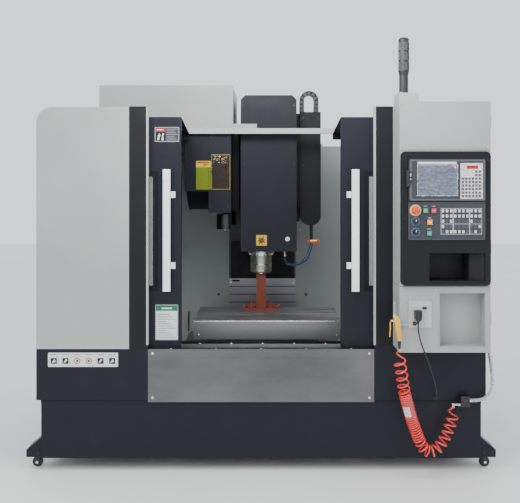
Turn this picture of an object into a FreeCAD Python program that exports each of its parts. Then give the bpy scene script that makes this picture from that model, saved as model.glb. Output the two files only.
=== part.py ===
import FreeCAD, Part
import math
import os
import re

import Sketcher

# A vertical machining centre with two sliding doors, an arm tool changer and a coolant tank.
# Millimetres, +Z up, front towards -Y. "depth" is measured back from the plane of the door posts.

DIMENSIONS = {
    # overall
    "front_y": -1010, "half_width": 1236, "sheet": 3, "gap": 0.3, "slide_gap": 0.8,
    # enclosure
    "cover_top": 2007, "cover_depth": 1398, "corner_round": 88, "roof_depth": 590,
    "apron_drop": 11, "sill_foot": 14, "chip_low": 30, "post_rise": 4, "skirt_gap": 4,
    "skirt_bottom": 396, "skirt_top": 676, "post_inner": 622, "post_outer": 725, "post_depth": 36,
    "apron_flange": 36, "sill_top": 652, "sill_back": 250, "chip_slope": 190, "chip_inner": 560,
    "beam_bottom": 1895, "beam_high": 34, "beam_front": 563, "beam_thick": 36,
    "hood_left": 1016, "hood_right": 176, "hood_front": 600, "hood_top": 2201, "hood_low": 1925,
    "hood_lip": 150, "hood_lip_high": 30,
    "guard_low": 640, "guard_top": 1853, "guard_hole_z": 770, "guard_hole_radius": 9,
    "guard_hole_in": 75, "cut_over": 1,
    # doors
    "door_inner": 445, "door_wide": 655, "door_thick": 40, "door_low": 668, "door_top": 1956,
    "door_depth": 45, "track_half": 4, "track_rise": 8,
    "window_in": 133, "window_wide": 400, "window_low": 997, "window_high": 651,
    "pane": 6, "pane_lap": 15, "wing_back": 561, "wing_drop": 65, "wing_lip": 34,
    "handle_in": 56, "handle_wide": 40, "handle_low": 991, "handle_high": 674, "handle_proud": 36,
    "handle_bar": 16, "tab_high": 36, "tab_low": 122, "tab_reach": 25, "tab_thick": 6,
    "tab_in": 8, "neck_in": 6, "groove_over": 2,
    # bed and column
    "bed_half": 520, "bed_low": 90, "bed_top": 500, "bed_front": 470, "bed_back": 2010,
    "bed_wall": 120, "bed_pocket": 180, "column_flare": 90, "flare_high": 500,
    "foot_radius": 70, "foot_thick": 30, "foot_screw": 24, "foot_x": 430,
    "rail_x": 260, "rail_wide": 45, "rail_high": 40, "rail_low": 980,
    "column_half": 310, "column_front": 1440, "column_top": 1950, "z_rail_x": 75,
    # saddle and table
    "saddle_half": 330, "saddle_front": 470, "saddle_deep": 480, "saddle_top": 600,
    "way_in": 60, "cover_foot": 40, "ways_front": 405, "ways_left": 600, "ways_right": 620, "ways_low": 545,
    "table_left": 410, "table_long": 900, "table_front": 443, "table_deep": 500,
    "table_top": 750, "table_thick": 113, "slot_wide": 18, "slot_deep": 36, "slot_head": 30,
    "slot_head_high": 13, "slot_pitch": 100, "slot_first": 100,
    "gutter_front": 14, "gutter_back": 38, "gutter_deep": 12,
    # brace between table and spindle
    "brace_wide": 61, "brace_top": 992, "brace_base": 223, "brace_base_thick": 16,
    "brace_wall": 5, "brace_cap": 8, "brace_base_half": 35,
    "stud_x": 65, "stud_radius": 9, "stud_high": 46, "nut_radius": 18, "nut_high": 18,
    # head and spindle
    "spindle_depth": 850, "head_left": 129, "head_right": 226, "head_front": 660,
    "head_low": 1151, "head_top": 2146, "head_back": 1370, "head_chamfer": 28,
    "head_seat": 9, "bore_over": 10, "rib_deep": 40, "rib_drop": 60,
    "cast_half": 112, "cast_front": 735, "cast_top": 1640, "motor_half": 90, "motor_top": 2040,
    "flange_radius": 86, "flange_thick": 26, "nose_radius": 69, "nose_low": 998,
    "nose_chamfer": 8, "port_gap": 1, "shaft_radius": 40, "shaft_low": 994, "shaft_top": 1220,
    "bore_gap": 0.5, "taper_radius": 22.2, "taper_deep": 65, "drawbar_radius": 12,
    "clamp_x": 168, "clamp_z": 1231, "clamp_radius": 14, "clamp_proud": 12, "clamp_stem": 5,
    # way covers in front of the column
    "plate_front": 1372, "plate_left": 233, "plate_right": 252, "plate_low": 662, "plate_top": 889,
    "plate_step": 3, "flap_low": 700, "mid_inset": 14, "plate_side": 10, "flap_short": 4,
    # column motor
    "z_motor_half": 70, "z_motor_top": 2200, "z_motor_depth": 1520,
    "z_cap_drop": 40, "z_cap_proud": 14, "z_cap_high": 30,
    # duct and coolant nozzle on the head
    "duct_left": 255, "duct_right": 391, "duct_low": 1311, "duct_top": 2051, "duct_front": 800,
    "duct_deep": 90, "duct_round": 60, "chain_wide": 60, "chain_radius": 47, "chain_thick": 26,
    "chain_rise": 78, "chain_in": 10, "duct_arm_in": 20, "duct_arm_deep": 40, "duct_arm_short": 120,
    "nozzle_x": 156, "nozzle_top": 1151, "nozzle_radius": 11, "nozzle_drop": 84,
    "nozzle_depth": 800, "nozzle_low": 1040, "nozzle_right": 330, "nozzle_high": 1190,
    "nozzle_bend": 26, "knee_proud": 1, "valve_left_reach": 26, "valve_right_reach": 60,
    "tap_half": 20, "tap_high": 34, "hanger_half": 10, "hanger_thick": 12, "hanger_foot": 8,
    # tool changer
    "mag_left": 480, "mag_mid": 330, "mag_right": 188, "mag_front": 601, "mag_radius": 385,
    "mag_depth": 1000, "mag_height": 1785, "mag_wall": 4, "box_back": 845, "box_low": 1400,
    "mouth_half": 90, "mouth_high": 60, "face_deep": 60, "face_drop": 250,
    "disc_radius": 300, "disc_thick": 50, "pot_radius": 32, "pot_long": 84, "pot_circle": 320,
    "axle_of_disc": 40,
    "cam_right": 146, "cam_front": 860, "cam_low": 1400, "cam_motor_radius": 44,
    "cam_motor_high": 72, "cam_motor_back": 110,
    "arm_x": 232, "arm_depth": 930, "arm_reach": 245, "arm_half": 34, "arm_low": 1318,
    "arm_high": 44, "grip_radius": 52, "grip_low": 1295, "grip_high": 93, "arm_shaft": 28,
    # control cabinet
    "desk_left": 728, "desk_right": 1208, "desk_front": 180, "desk_low": 698, "desk_top": 2019,
    "mast_right": 833, "mast_top": 2067, "mast_front": 170, "mast_back": 20,
    "console_thick": 20, "console_low": 1051, "console_top": 1756, "console_inset": 4,
    "console_round": 26,
    "tray_left": 881, "tray_right": 1174, "tray_low": 1076, "tray_top": 1224, "tray_deep": 120,
    "niche_left": 940, "niche_right": 1179, "niche_low": 730, "niche_top": 1011, "niche_deep": 90,
    "screen_left": 772, "screen_wide": 400, "screen_low": 1496, "screen_high": 220,
    "screen_thick": 14, "corner_small": 8,
    "keys_left": 770, "keys_wide": 403, "keys_low": 1292, "keys_high": 199, "keys_thick": 6,
    "stop_x": 807, "stop_z": 1447, "stop_radius": 20, "stop_collar": 27, "collar_thick": 6,
    "stop_proud": 22, "stop_round": 6, "stop_rim": 9, "stop_gap": 7, "stop_neck": 5,
    "push_half": 13, "push_proud": 9, "push_travel": 4, "push_stem": 5, "stem_deep": 12,
    "green_x": 859, "red_x": 902, "upper_z": 1447, "orange_x": 881, "orange_z": 1386,
    "cycle_x": 879, "cycle_z": 1328, "knob_x": 808, "feed_z": 1389, "speed_z": 1334,
    "knob_radius": 15, "knob_proud": 20, "knob_taper": 3,
    "socket_left": 774, "socket_wide": 126, "socket_low": 827, "socket_high": 147,
    "socket_thick": 5, "dial_radius": 9, "dial_proud": 12, "dial_in": 16, "dial_up": 26,
    "plug_x": 822, "plug_half": 20, "plug_low": 866, "plug_high": 60,
    "plug_proud": 34,
    "lamp_x": 766, "lamp_depth": 95, "lamp_radius": 26, "lamp_high": 302, "lamp_step": 2,
    "lamp_crown": 8, "lamp_top_in": 6,
    # electric cabinet behind the column
    "elec_half": 500, "elec_low": 700, "elec_top": 1900, "elec_back": 2256,
    "leaf_thick": 24, "leaf_in": 14,
    # air gun
    "gun_x": 708, "gun_half": 22, "gun_front": 236, "gun_thick": 30, "gun_low": 768,
    "gun_top": 903, "hook_in": 6, "hook_reach": 40, "hook_drop": 60, "hook_high": 10,
    "tip_in": 14, "tip_drop": 40, "tip_long": 110, "tip_radius": 5, "pivot_half": 12,
    "pivot_deep": 8, "pivot_drop": 34, "pivot_high": 10, "trigger_out": 18, "trigger_wide": 8,
    "trigger_deep": 6, "trigger_up": 20,
    "swivel_radius": 9, "swivel_low": 718, "swivel_x": 721,
    # coolant tank
    "tank_half": 1213, "tank_front": 15, "tank_deep": 330, "tank_low": 72, "tank_top": 392,
    "tank_wall": 5, "arm_inner": 640, "arm_outer": 1150, "arm_back": 1010,
    "arm_tank_top": 330, "bracket_out": 1300, "bracket_top": 185, "bracket_slope": 112,
    "bracket_front": 30, "bracket_deep": 120, "wheel_radius": 29, "wheel_thick": 22,
    "wheel_x": 1262, "wheel_round": 4, "wheel_gap": 2, "axle_radius": 5, "fork_thick": 4,
    "fork_plate": 5, "cheek_half": 16, "cheek_drop": 12, "crown_half": 24, "crown_radius": 26,
    "skid_x": 900, "skid_half": 40, "caster_trail": 10,
    # air hose fitting under the control cabinet
    "valve_left": 1084, "valve_right": 1135, "valve_low": 372, "valve_top": 432, "valve_proud": 54,
    "valve_stub": 7, "valve_wide": 28, "outlet_x": 1046, "outlet_z": 384, "grommet_x": 957,
    "grommet_z": 410, "grommet_radius": 9, "grommet_thick": 6, "valve_notch": 12,
    "outlet_drop": 12, "outlet_radius": 6, "elbow_up": 34, "elbow_long": 14,
    # the gland where the twin hose enters the right side
    "gland_depth": 60, "gland_z": 900, "gland_radius": 16, "gland_long": 22,
}

doc = FreeCAD.newDocument("MachiningCentre")
sheet = doc.addObject("Spreadsheet::Sheet", "Sizes")
for line, (alias, number) in enumerate(DIMENSIONS.items(), 1):
    sheet.set(f"A{line}", alias)
    sheet.set(f"B{line}", str(number))
    sheet.setAlias(f"B{line}", alias)
doc.recompute()

WORD = re.compile(r"[a-z_]+")
AXIS_TURNS = {
    "x": FreeCAD.Rotation(FreeCAD.Vector(0, 1, 0), 90),
    "y": FreeCAD.Rotation(FreeCAD.Vector(1, 0, 0), -90),
    "z": FreeCAD.Rotation(),
}
NODES = []


def in_sheet(rule):
    """The rule with each named size pointed at the sheet."""
    return WORD.sub(lambda m: f"Sizes.{m[0]}" if m[0] in DIMENSIONS else m[0], str(rule))


def number(rule):
    return float(sheet.evalExpression(in_sheet(rule)))


def bind(item, prop, rule):
    item.setExpression(prop, in_sheet(rule))


def place(item, x="0", depth="0", z="0"):
    bind(item, "Placement.Base.x", x)
    bind(item, "Placement.Base.y", f"front_y + ({depth})")
    bind(item, "Placement.Base.z", z)


def block(x, depth, z):
    """A box between two rules along each axis."""
    box = doc.addObject("Part::Box", "block")
    for side, (low, high) in (("Length", x), ("Width", depth), ("Height", z)):
        bind(box, side, f"({high}) - ({low})")
    place(box, x[0], depth[0], z[0])
    return box


def mirrored(side, span):
    """A span along X, or its mirror image when side is -1."""
    low, high = span
    return (low, high) if side > 0 else (f"-({high})", f"-({low})")


def rod(axis, x, depth, z, radius, length):
    """A cylinder that starts at the given point and runs along an axis."""
    bar = doc.addObject("Part::Cylinder", "rod")
    bar.Placement = FreeCAD.Placement(FreeCAD.Vector(), AXIS_TURNS[axis])
    bind(bar, "Radius", radius)
    bind(bar, "Height", length)
    place(bar, x, depth, z)
    return bar


def joined(items):
    if len(items) == 1:
        return items[0]
    union = doc.addObject("Part::MultiFuse", "union")
    union.Shapes = items
    union.Refine = True
    return union


def minus(base, tools):
    cut = doc.addObject("Part::Cut", "cut")
    cut.Base = base
    cut.Tool = joined(tools)
    return cut


def beside(items):
    """Separate solids that are one node."""
    group = doc.addObject("Part::Compound", "group")
    group.Links = items
    return group


def shell(x, depth, z, wall, open_sides):
    """A box of sheet, with the named sides left open."""
    inside = []
    for axis, (low, high) in zip("xyz", (x, depth, z)):
        start = f"({low})" if f"-{axis}" in open_sides else f"({low}) + {wall}"
        stop = f"({high})" if f"+{axis}" in open_sides else f"({high}) - {wall}"
        inside.append((start, stop))
    return minus(block(x, depth, z), [block(*inside)])


def outline(piece, plane, corners):
    """A closed sketch of straight edges, each corner held by the sheet."""
    drawing = piece.newObject("Sketcher::SketchObject", "outline")
    support = next(part for part in piece.Origin.OriginFeatures if part.Role == plane)
    drawing.AttachmentSupport = [(support, "")]
    drawing.MapMode = "FlatFace"
    points = [FreeCAD.Vector(number(across), number(up), 0) for across, up in corners]
    count = len(points)
    for start in range(count):
        drawing.addGeometry(Part.LineSegment(points[start], points[(start + 1) % count]))
    for start in range(count):
        after = (start + 1) % count
        drawing.addConstraint(Sketcher.Constraint("Coincident", start, 2, after, 1))
    for start, (across, up) in enumerate(corners):
        for kind, rule in (("DistanceX", across), ("DistanceY", up)):
            held = Sketcher.Constraint(kind, -1, 1, start, 1, number(rule))
            index = drawing.addConstraint(held)
            drawing.setExpression(f"Constraints[{index}]", in_sheet(rule))
    return drawing


def plate(plane, corners, thickness, x="0", depth="0", z="0", reverse=False):
    """A body padded from an outline on one of its origin planes."""
    piece = doc.addObject("PartDesign::Body", "plate")
    place(piece, x, depth, z)
    pad = piece.newObject("PartDesign::Pad", "pad")
    pad.Profile = outline(piece, plane, corners)
    pad.Reversed = reverse
    bind(pad, "Length", thickness)
    doc.recompute()
    return piece


def pocketed(piece, plane, corners, length, reverse=False):
    """Cuts a pocket through the body and fails if nothing was removed."""
    before = piece.Shape.Volume
    pocket = piece.newObject("PartDesign::Pocket", "pocket")
    pocket.Profile = outline(piece, plane, corners)
    pocket.Reversed = reverse
    bind(pocket, "Length", length)
    doc.recompute()
    if piece.Shape.Volume >= before:
        raise ValueError("a pocket cut nothing")
    return pocket


def rounded(piece, along, radius, wanted=lambda middle: True):
    """Rounds the body's edges that run along one axis and pass the test."""
    base = piece.Tip
    names = []
    for index, edge in enumerate(base.Shape.Edges, 1):
        if not isinstance(edge.Curve, Part.Line):
            continue
        way = edge.tangentAt(edge.FirstParameter)
        if abs(getattr(way, along)) > 0.99 and wanted(edge.CenterOfMass):
            names.append(f"Edge{index}")
    fillet = piece.newObject("PartDesign::Fillet", "round")
    fillet.Base = (base, names)
    bind(fillet, "Radius", radius)
    doc.recompute()
    return piece


def turned(axis, profile, x="0", depth="0", z="0"):
    """A body turned about an axis, from (radius, distance along the axis) corners."""
    piece = doc.addObject("PartDesign::Body", "turned")
    place(piece, x, depth, z)
    plane = "XZ_Plane" if axis == "z" else "XY_Plane"
    corners = [(far, radius) for radius, far in profile] if axis == "x" else profile
    turn = piece.newObject("PartDesign::Revolution", "turn")
    drawing = outline(piece, plane, corners)
    turn.Profile = drawing
    turn.ReferenceAxis = (drawing, ["H_Axis" if axis == "x" else "V_Axis"])
    turn.Angle = 360
    doc.recompute()
    return piece


def rectangle(left, right, low, high):
    return [(left, low), (right, low), (right, high), (left, high)]


def node(item, label):
    item.Label = label
    NODES.append(item)
    return item


# ---------------------------------------------------------------- bed, column and feet
def base_castings():
    """The bed that everything stands on, its feet and the column at its back."""
    bed_x = ("-bed_half", "bed_half")
    body = block(bed_x, ("bed_front", "bed_back"), ("bed_low", "bed_top"))
    pocket = block(("-bed_half + bed_wall", "bed_half - bed_wall"),
                   ("bed_front + bed_wall", "column_front - bed_wall"),
                   ("bed_top - bed_pocket", "bed_top"))
    node(beside([minus(body, [pocket])] + bed_rails()), "bed")
    feet = []
    for x in ("-foot_x", "foot_x"):
        for depth in ("bed_front + foot_radius", "(bed_front + bed_back) / 2", "bed_back - foot_radius"):
            pad = rod("z", x, depth, "0", "foot_radius", "foot_thick")
            screw = rod("z", x, depth, "foot_thick", "foot_screw", "bed_low - foot_thick")
            feet.append(joined([pad, screw]))
    node(beside(feet), "leveling_feet")
    tower = [("-column_half - column_flare", "bed_top"), ("column_half + column_flare", "bed_top"),
             ("column_half", "bed_top + flare_high"), ("column_half", "column_top"),
             ("-column_half", "column_top"), ("-column_half", "bed_top + flare_high")]
    casting = plate("XZ_Plane", tower, "bed_back - column_front", depth="column_front", reverse=True)
    node(beside([casting, z_servo_motor()] + column_rails()), "column")


def rail_pair(x, depth, z):
    """Two guide rails, one each side of the middle."""
    return [block(mirrored(side, x), depth, z) for side in (-1, 1)]


def bed_rails():
    return rail_pair(("rail_x - rail_wide / 2", "rail_x + rail_wide / 2"),
                     ("bed_front", "column_front - rail_high"), ("bed_top", "bed_top + rail_high"))


def column_rails():
    return rail_pair(("z_rail_x - rail_wide / 2", "z_rail_x + rail_wide / 2"),
                     ("column_front - rail_high", "column_front"), ("rail_low", "column_top"))


def z_servo_motor():
    """The motor on top of the column that drives the head."""
    motor = block(("-z_motor_half", "z_motor_half"),
                  ("z_motor_depth", "z_motor_depth + 2 * z_motor_half"),
                  ("column_top", "z_motor_top"))
    cap = rod("z", "0", "z_motor_depth + z_motor_half", "z_motor_top - z_cap_drop",
              "z_motor_half + z_cap_proud", "z_cap_high")
    return joined([motor, cap])


# ---------------------------------------------------------------- saddle and table
def saddle():
    """The cross slide with its X ways, and the sheet cover across its front."""
    low = "bed_top + rail_high + gap"
    base = block(("-saddle_half", "saddle_half"), ("saddle_front", "saddle_front + saddle_deep"),
                 (low, "saddle_top"))
    ways = []
    for depth in ("saddle_front + way_in", "saddle_front + saddle_deep - way_in - rail_wide"):
        ways.append(block(("-saddle_half", "saddle_half"), (depth, f"{depth} + rail_wide"),
                          ("saddle_top", "table_top - table_thick - gap")))
    slide = joined([base] + ways)
    front = block(("-ways_left", "ways_right"), ("ways_front", "ways_front + sheet"),
                  ("ways_low", "table_top - table_thick - gap * 4"))
    foot = block(("-saddle_half", "saddle_half"), ("ways_front + sheet", "saddle_front"),
                 ("saddle_top - cover_foot", "saddle_top - cover_foot + sheet"))
    ends = [block(x, ("ways_front + sheet", "saddle_front + saddle_deep"),
                  ("ways_low", "table_top - table_thick - gap * 4"))
            for x in (("-ways_left", "-ways_left + sheet"), ("ways_right - sheet", "ways_right"))]
    node(beside([slide, joined([front, foot] + ends)]), "saddle")


def table():
    """The work table with a row of T-slots and a drain gutter along its front edge."""
    left, right = "-table_left", "table_long - table_left"
    corners = rectangle("0", "table_deep", "table_top - table_thick", "table_top")
    piece = plate("YZ_Plane", corners, "table_long", x=left, depth="table_front")
    for row in range(4):
        middle = f"slot_first + {row} * slot_pitch"
        neck = ("slot_wide / 2", "table_top - slot_deep")
        head = ("slot_head / 2", "table_top - slot_deep + slot_head_high")
        slot = [(f"{middle} - {head[0]}", neck[1]), (f"{middle} + {head[0]}", neck[1]),
                (f"{middle} + {head[0]}", head[1]), (f"{middle} + {neck[0]}", head[1]),
                (f"{middle} + {neck[0]}", "table_top"), (f"{middle} - {neck[0]}", "table_top"),
                (f"{middle} - {neck[0]}", head[1]), (f"{middle} - {head[0]}", head[1])]
        pocketed(piece, "YZ_Plane", slot, "table_long", reverse=True)
    gutter = rectangle("gutter_front", "gutter_back", "table_top - gutter_deep", "table_top")
    pocketed(piece, "YZ_Plane", gutter, "table_long", reverse=True)
    node(piece, "table")


def shipping_brace():
    """The steel post bolted to the table under the spindle for transport."""
    half, wide = "brace_wide / 2", "brace_base / 2"
    post = shell((f"-{half}", half), (f"spindle_depth - {half}", f"spindle_depth + {half}"),
                 ("table_top + brace_base_thick", "brace_top - brace_cap"), "brace_wall",
                 ("-z", "+z"))
    cap = block((f"-{half}", half), (f"spindle_depth - {half}", f"spindle_depth + {half}"),
                ("brace_top - brace_cap", "brace_top"))
    foot = block((f"-{wide}", wide),
                 ("spindle_depth - brace_base_half", "spindle_depth + brace_base_half"),
                 ("table_top", "table_top + brace_base_thick"))
    studs = []
    for x in ("-stud_x", "stud_x"):
        top = "table_top + brace_base_thick"
        studs.append(rod("z", x, "spindle_depth", top, "stud_radius", "stud_high"))
        studs.append(rod("z", x, "spindle_depth", top, "nut_radius", "nut_high"))
    node(joined([post, cap, foot] + studs), "shipping_brace")


# ---------------------------------------------------------------- head and spindle
def head():
    """The head casting with its spindle motor, under a sheet cover with chamfered shoulders."""
    seat = "head_low + head_seat"
    casting = block(("-cast_half", "cast_half"), ("cast_front", "column_front - rail_high - gap"),
                    (seat, "cast_top"))
    motor = block(("-motor_half", "motor_half"),
                  ("spindle_depth - motor_half", "spindle_depth + motor_half"),
                  ("cast_top", "motor_top"))
    bore = rod("z", "0", "spindle_depth", seat, "shaft_radius + bore_gap",
               "shaft_top + bore_over - head_low")
    node(minus(joined([casting, motor]), [bore]), "head")

    shoulders = [("-head_left", "head_low"), ("head_right", "head_low"),
                 ("head_right", "head_top - head_chamfer"),
                 ("head_right - head_chamfer", "head_top"),
                 ("-head_left + head_chamfer", "head_top"),
                 ("-head_left", "head_top - head_chamfer")]
    inner = [("-head_left + sheet", "head_low"), ("head_right - sheet", "head_low"),
             ("head_right - sheet", "head_top - head_chamfer - sheet / 2"),
             ("head_right - head_chamfer - sheet / 2", "head_top - sheet"),
             ("-head_left + head_chamfer + sheet / 2", "head_top - sheet"),
             ("-head_left + sheet", "head_top - head_chamfer - sheet / 2")]
    cover = plate("XZ_Plane", shoulders, "head_back - head_front", depth="head_front", reverse=True)
    hollow = plate("XZ_Plane", inner, "head_back - head_front - sheet", depth="head_front + sheet",
                   reverse=True)
    bottom = block(("-head_left + sheet", "head_right - sheet"), ("head_front + sheet", "head_back"),
                   ("head_low", "head_low + sheet"))
    port = rod("z", "0", "spindle_depth", "head_low - cut_over", "flange_radius + port_gap",
               "sheet + 2 * cut_over")
    button = rod("y", "clamp_x", "head_front - cut_over", "clamp_z", "clamp_stem + bore_gap",
                 "sheet + 2 * cut_over")
    ribs = [block(x, ("cast_front", "cast_front + rib_deep"),
                  ("cast_top - rib_drop", "cast_top - rib_drop + sheet"))
            for x in (("-head_left + sheet", "-cast_half"), ("cast_half", "head_right - sheet"))]
    housing = joined([minus(minus(cover, [hollow]), [button]), minus(bottom, [port])] + ribs)
    node(beside([housing, head_flap()]), "head_cover")


def spindle():
    """The fixed cartridge nose and the shaft that turns in it, bored with a 7:24 taper."""
    bore = "shaft_radius + bore_gap"
    nose = [(bore, "nose_low"), ("nose_radius - nose_chamfer", "nose_low"),
            ("nose_radius", "nose_low + nose_chamfer"),
            ("nose_radius", "head_low - flange_thick"), ("flange_radius", "head_low - flange_thick"),
            ("flange_radius", "head_low + head_seat"), (bore, "head_low + head_seat")]
    node(turned("z", nose, depth="spindle_depth"), "spindle_nose")
    mouth, small = "taper_radius", "taper_radius - taper_deep * 7 / 48"
    shaft = [(mouth, "shaft_low"), ("shaft_radius", "shaft_low"), ("shaft_radius", "shaft_top"),
             ("drawbar_radius", "shaft_top"), ("drawbar_radius", "shaft_low + taper_deep"),
             (small, "shaft_low + taper_deep")]
    node(turned("z", shaft, depth="spindle_depth"), "spindle")


def clamp_button():
    """The push button on the head cover that releases the tool."""
    reach = "head_front"
    button = [("0", "-clamp_proud"), ("clamp_radius", "-clamp_proud"), ("clamp_radius", "-push_travel"),
              ("clamp_stem", "-push_travel"), ("clamp_stem", "stem_deep"), ("0", "stem_deep")]
    node(turned("y", button, x="clamp_x", depth=reach, z="clamp_z"), "clamp_button")


def way_covers():
    """Sheets in front of the column: one fixed and one that slides up behind it."""
    step = "(sheet + slide_gap)"
    plates = []
    for row in range(4):
        low = f"plate_low + (plate_top - plate_low) * {row} / 4"
        plates.append(block(("-plate_left", "plate_right"),
                            (f"plate_front - plate_step * (4 - {row})", "plate_front + sheet"),
                            (low, f"{low} + (plate_top - plate_low) / 4")))
    sides = [block(x, ("plate_front + sheet", "cover_depth - sheet"), ("plate_low", "plate_top"))
             for x in (("-plate_left", "-plate_left + plate_side"),
                       ("plate_right - plate_side", "plate_right"))]
    node(joined(plates + sides), "fixed_way_cover")
    node(block(("-plate_left + mid_inset", "plate_right - mid_inset"),
               (f"plate_front + {step}", f"plate_front + {step} + sheet"),
               ("flap_low", "plate_top - flap_short")), "sliding_way_cover")


def head_flap():
    """The sheet that hangs from the head behind the other way covers."""
    front = "plate_front + 2 * (sheet + slide_gap)"
    return block(("-plate_left + mid_inset", "plate_right - mid_inset"), (front, f"{front} + sheet"),
                 ("flap_low", "head_low + head_seat"))


def duct():
    """The cable duct at the right of the head and the cable chain that arches over it."""
    corners = rectangle("0", "duct_right - duct_left", "0", "duct_top - duct_low")
    box = plate("XZ_Plane", corners, "duct_deep", x="duct_left", depth="duct_front", z="duct_low",
                reverse=True)
    rounded(box, "y", "duct_round", lambda middle: middle.z < number("duct_top - duct_low") / 2)
    arm = block(("head_right", "duct_left"),
                ("duct_front + duct_arm_in", "duct_front + duct_arm_in + duct_arm_deep"),
                ("duct_low + duct_arm_short", "duct_top - duct_arm_short"))
    inner, outer = "chain_radius - chain_thick / 2", "chain_radius + chain_thick / 2"
    centre_x = "(duct_left + chain_radius + chain_thick / 2)"
    deep = ("duct_front + chain_in", "duct_front + chain_in + chain_wide")
    ring = minus(rod("y", centre_x, deep[0], "duct_top + chain_rise", outer, "chain_wide"),
                 [rod("y", centre_x, f"({deep[0]}) - cut_over", "duct_top + chain_rise", inner,
                      "chain_wide + 2 * cut_over"),
                  block((f"{centre_x} - 2 * {outer}", f"{centre_x} + 2 * {outer}"),
                        (f"({deep[0]}) - cut_over", f"({deep[1]}) + cut_over"),
                        ("duct_top", "duct_top + chain_rise"))])
    legs = [block((f"{centre_x} + {sign} * chain_radius - chain_thick / 2",
                   f"{centre_x} + {sign} * chain_radius + chain_thick / 2"), deep,
                  ("duct_top", "duct_top + chain_rise")) for sign in (-1, 1)]
    node(beside([joined([box, arm]), joined([ring] + legs)]), "cable_duct")


def coolant_nozzle():
    """The segmented coolant hose that dips from the head and rises to its two valves."""
    radius = "nozzle_radius"
    hang = rod("z", "nozzle_x", "nozzle_depth", "nozzle_top - nozzle_drop", radius, "nozzle_drop")
    bend = "nozzle_low + nozzle_bend"
    rise = rod("z", "nozzle_right", "nozzle_depth", bend, radius, f"nozzle_high - ({bend})")
    across = rod("x", "nozzle_x", "nozzle_depth", bend, radius, "nozzle_right - nozzle_x")
    knees = []
    for x in ("nozzle_x", "nozzle_right"):
        ball = doc.addObject("Part::Sphere", "knee")
        bind(ball, "Radius", f"{radius} + knee_proud")
        place(ball, x, "nozzle_depth", bend)
        knees.append(ball)
    link = rod("z", "nozzle_x", "nozzle_depth", bend, radius, f"nozzle_top - nozzle_drop - ({bend})")
    valves = block(("nozzle_right - valve_left_reach", "nozzle_right + valve_right_reach"),
                   ("nozzle_depth - tap_half", "nozzle_depth + tap_half"),
                   ("nozzle_high", "nozzle_high + tap_high"))
    wide = ("nozzle_right - hanger_half", "nozzle_right + hanger_half")
    back = "nozzle_depth + tap_half"
    hanger = block(wide, (back, f"{back} + hanger_thick"), ("nozzle_high", "duct_low"))
    foot = block(wide, (back, "duct_front + duct_deep"), ("duct_low - hanger_foot", "duct_low"))
    node(joined([hang, rise, across, link, valves, hanger, foot] + knees), "coolant_nozzle")


# ---------------------------------------------------------------- tool changer
POTS = 20


def magazine():
    """The drum casing, open at the bottom where a pot tips out, and the disc of pots inside it."""
    casing = rod("x", "-mag_left", "mag_depth", "mag_height", "mag_radius", "mag_left - mag_mid")
    hollow = rod("x", "-mag_left + mag_wall", "mag_depth", "mag_height", "mag_radius - mag_wall",
                 "mag_left - mag_mid - 2 * mag_wall")
    mouth = block(("-mag_left + mag_wall", "-mag_mid - mag_wall"),
                  ("mag_depth - mouth_half", "mag_depth + mouth_half"),
                  ("mag_height - mag_radius - cut_over", "mag_height - mag_radius + mouth_high"))
    drum = minus(casing, [hollow, mouth])
    front = shell(("-mag_mid", "-mag_right"), ("mag_front", "box_back"), ("box_low", "hood_low - gap"),
                  "mag_wall", ("+y",))
    face = shell(("-mag_left", "-mag_mid"), ("mag_front", "mag_front + face_deep"),
                 ("mag_height - face_drop", "hood_low - gap"), "mag_wall", ("+y",))
    spare = rod("x", "-mag_left - cut_over", "mag_depth", "mag_height", "mag_radius - mag_wall / 2",
                "mag_left - mag_mid + 2 * cut_over")
    axle = rod("x", "-mag_left", "mag_depth", "mag_height", "axle_of_disc", "mag_left - mag_mid")
    node(joined([drum, front, minus(face, [spare]), axle]), "magazine_shell")

    disc_x = "-(mag_left + mag_mid) / 2"
    disc = rod("x", f"{disc_x} - disc_thick / 2", "mag_depth", "mag_height", "disc_radius", "disc_thick")
    bore = rod("x", "-mag_left", "mag_depth", "mag_height", "axle_of_disc + bore_gap",
               "mag_left - mag_mid")
    pots = []
    for number_of_pot in range(POTS):
        turn = f"{number_of_pot * 360 / POTS} * 1 deg"
        pots.append(rod("x", f"{disc_x} - pot_long / 2", f"mag_depth + pot_circle * sin({turn})",
                        f"mag_height - pot_circle * cos({turn})", "pot_radius", "pot_long"))
    node(minus(joined([disc] + pots), [bore]), "tool_disc")


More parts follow.
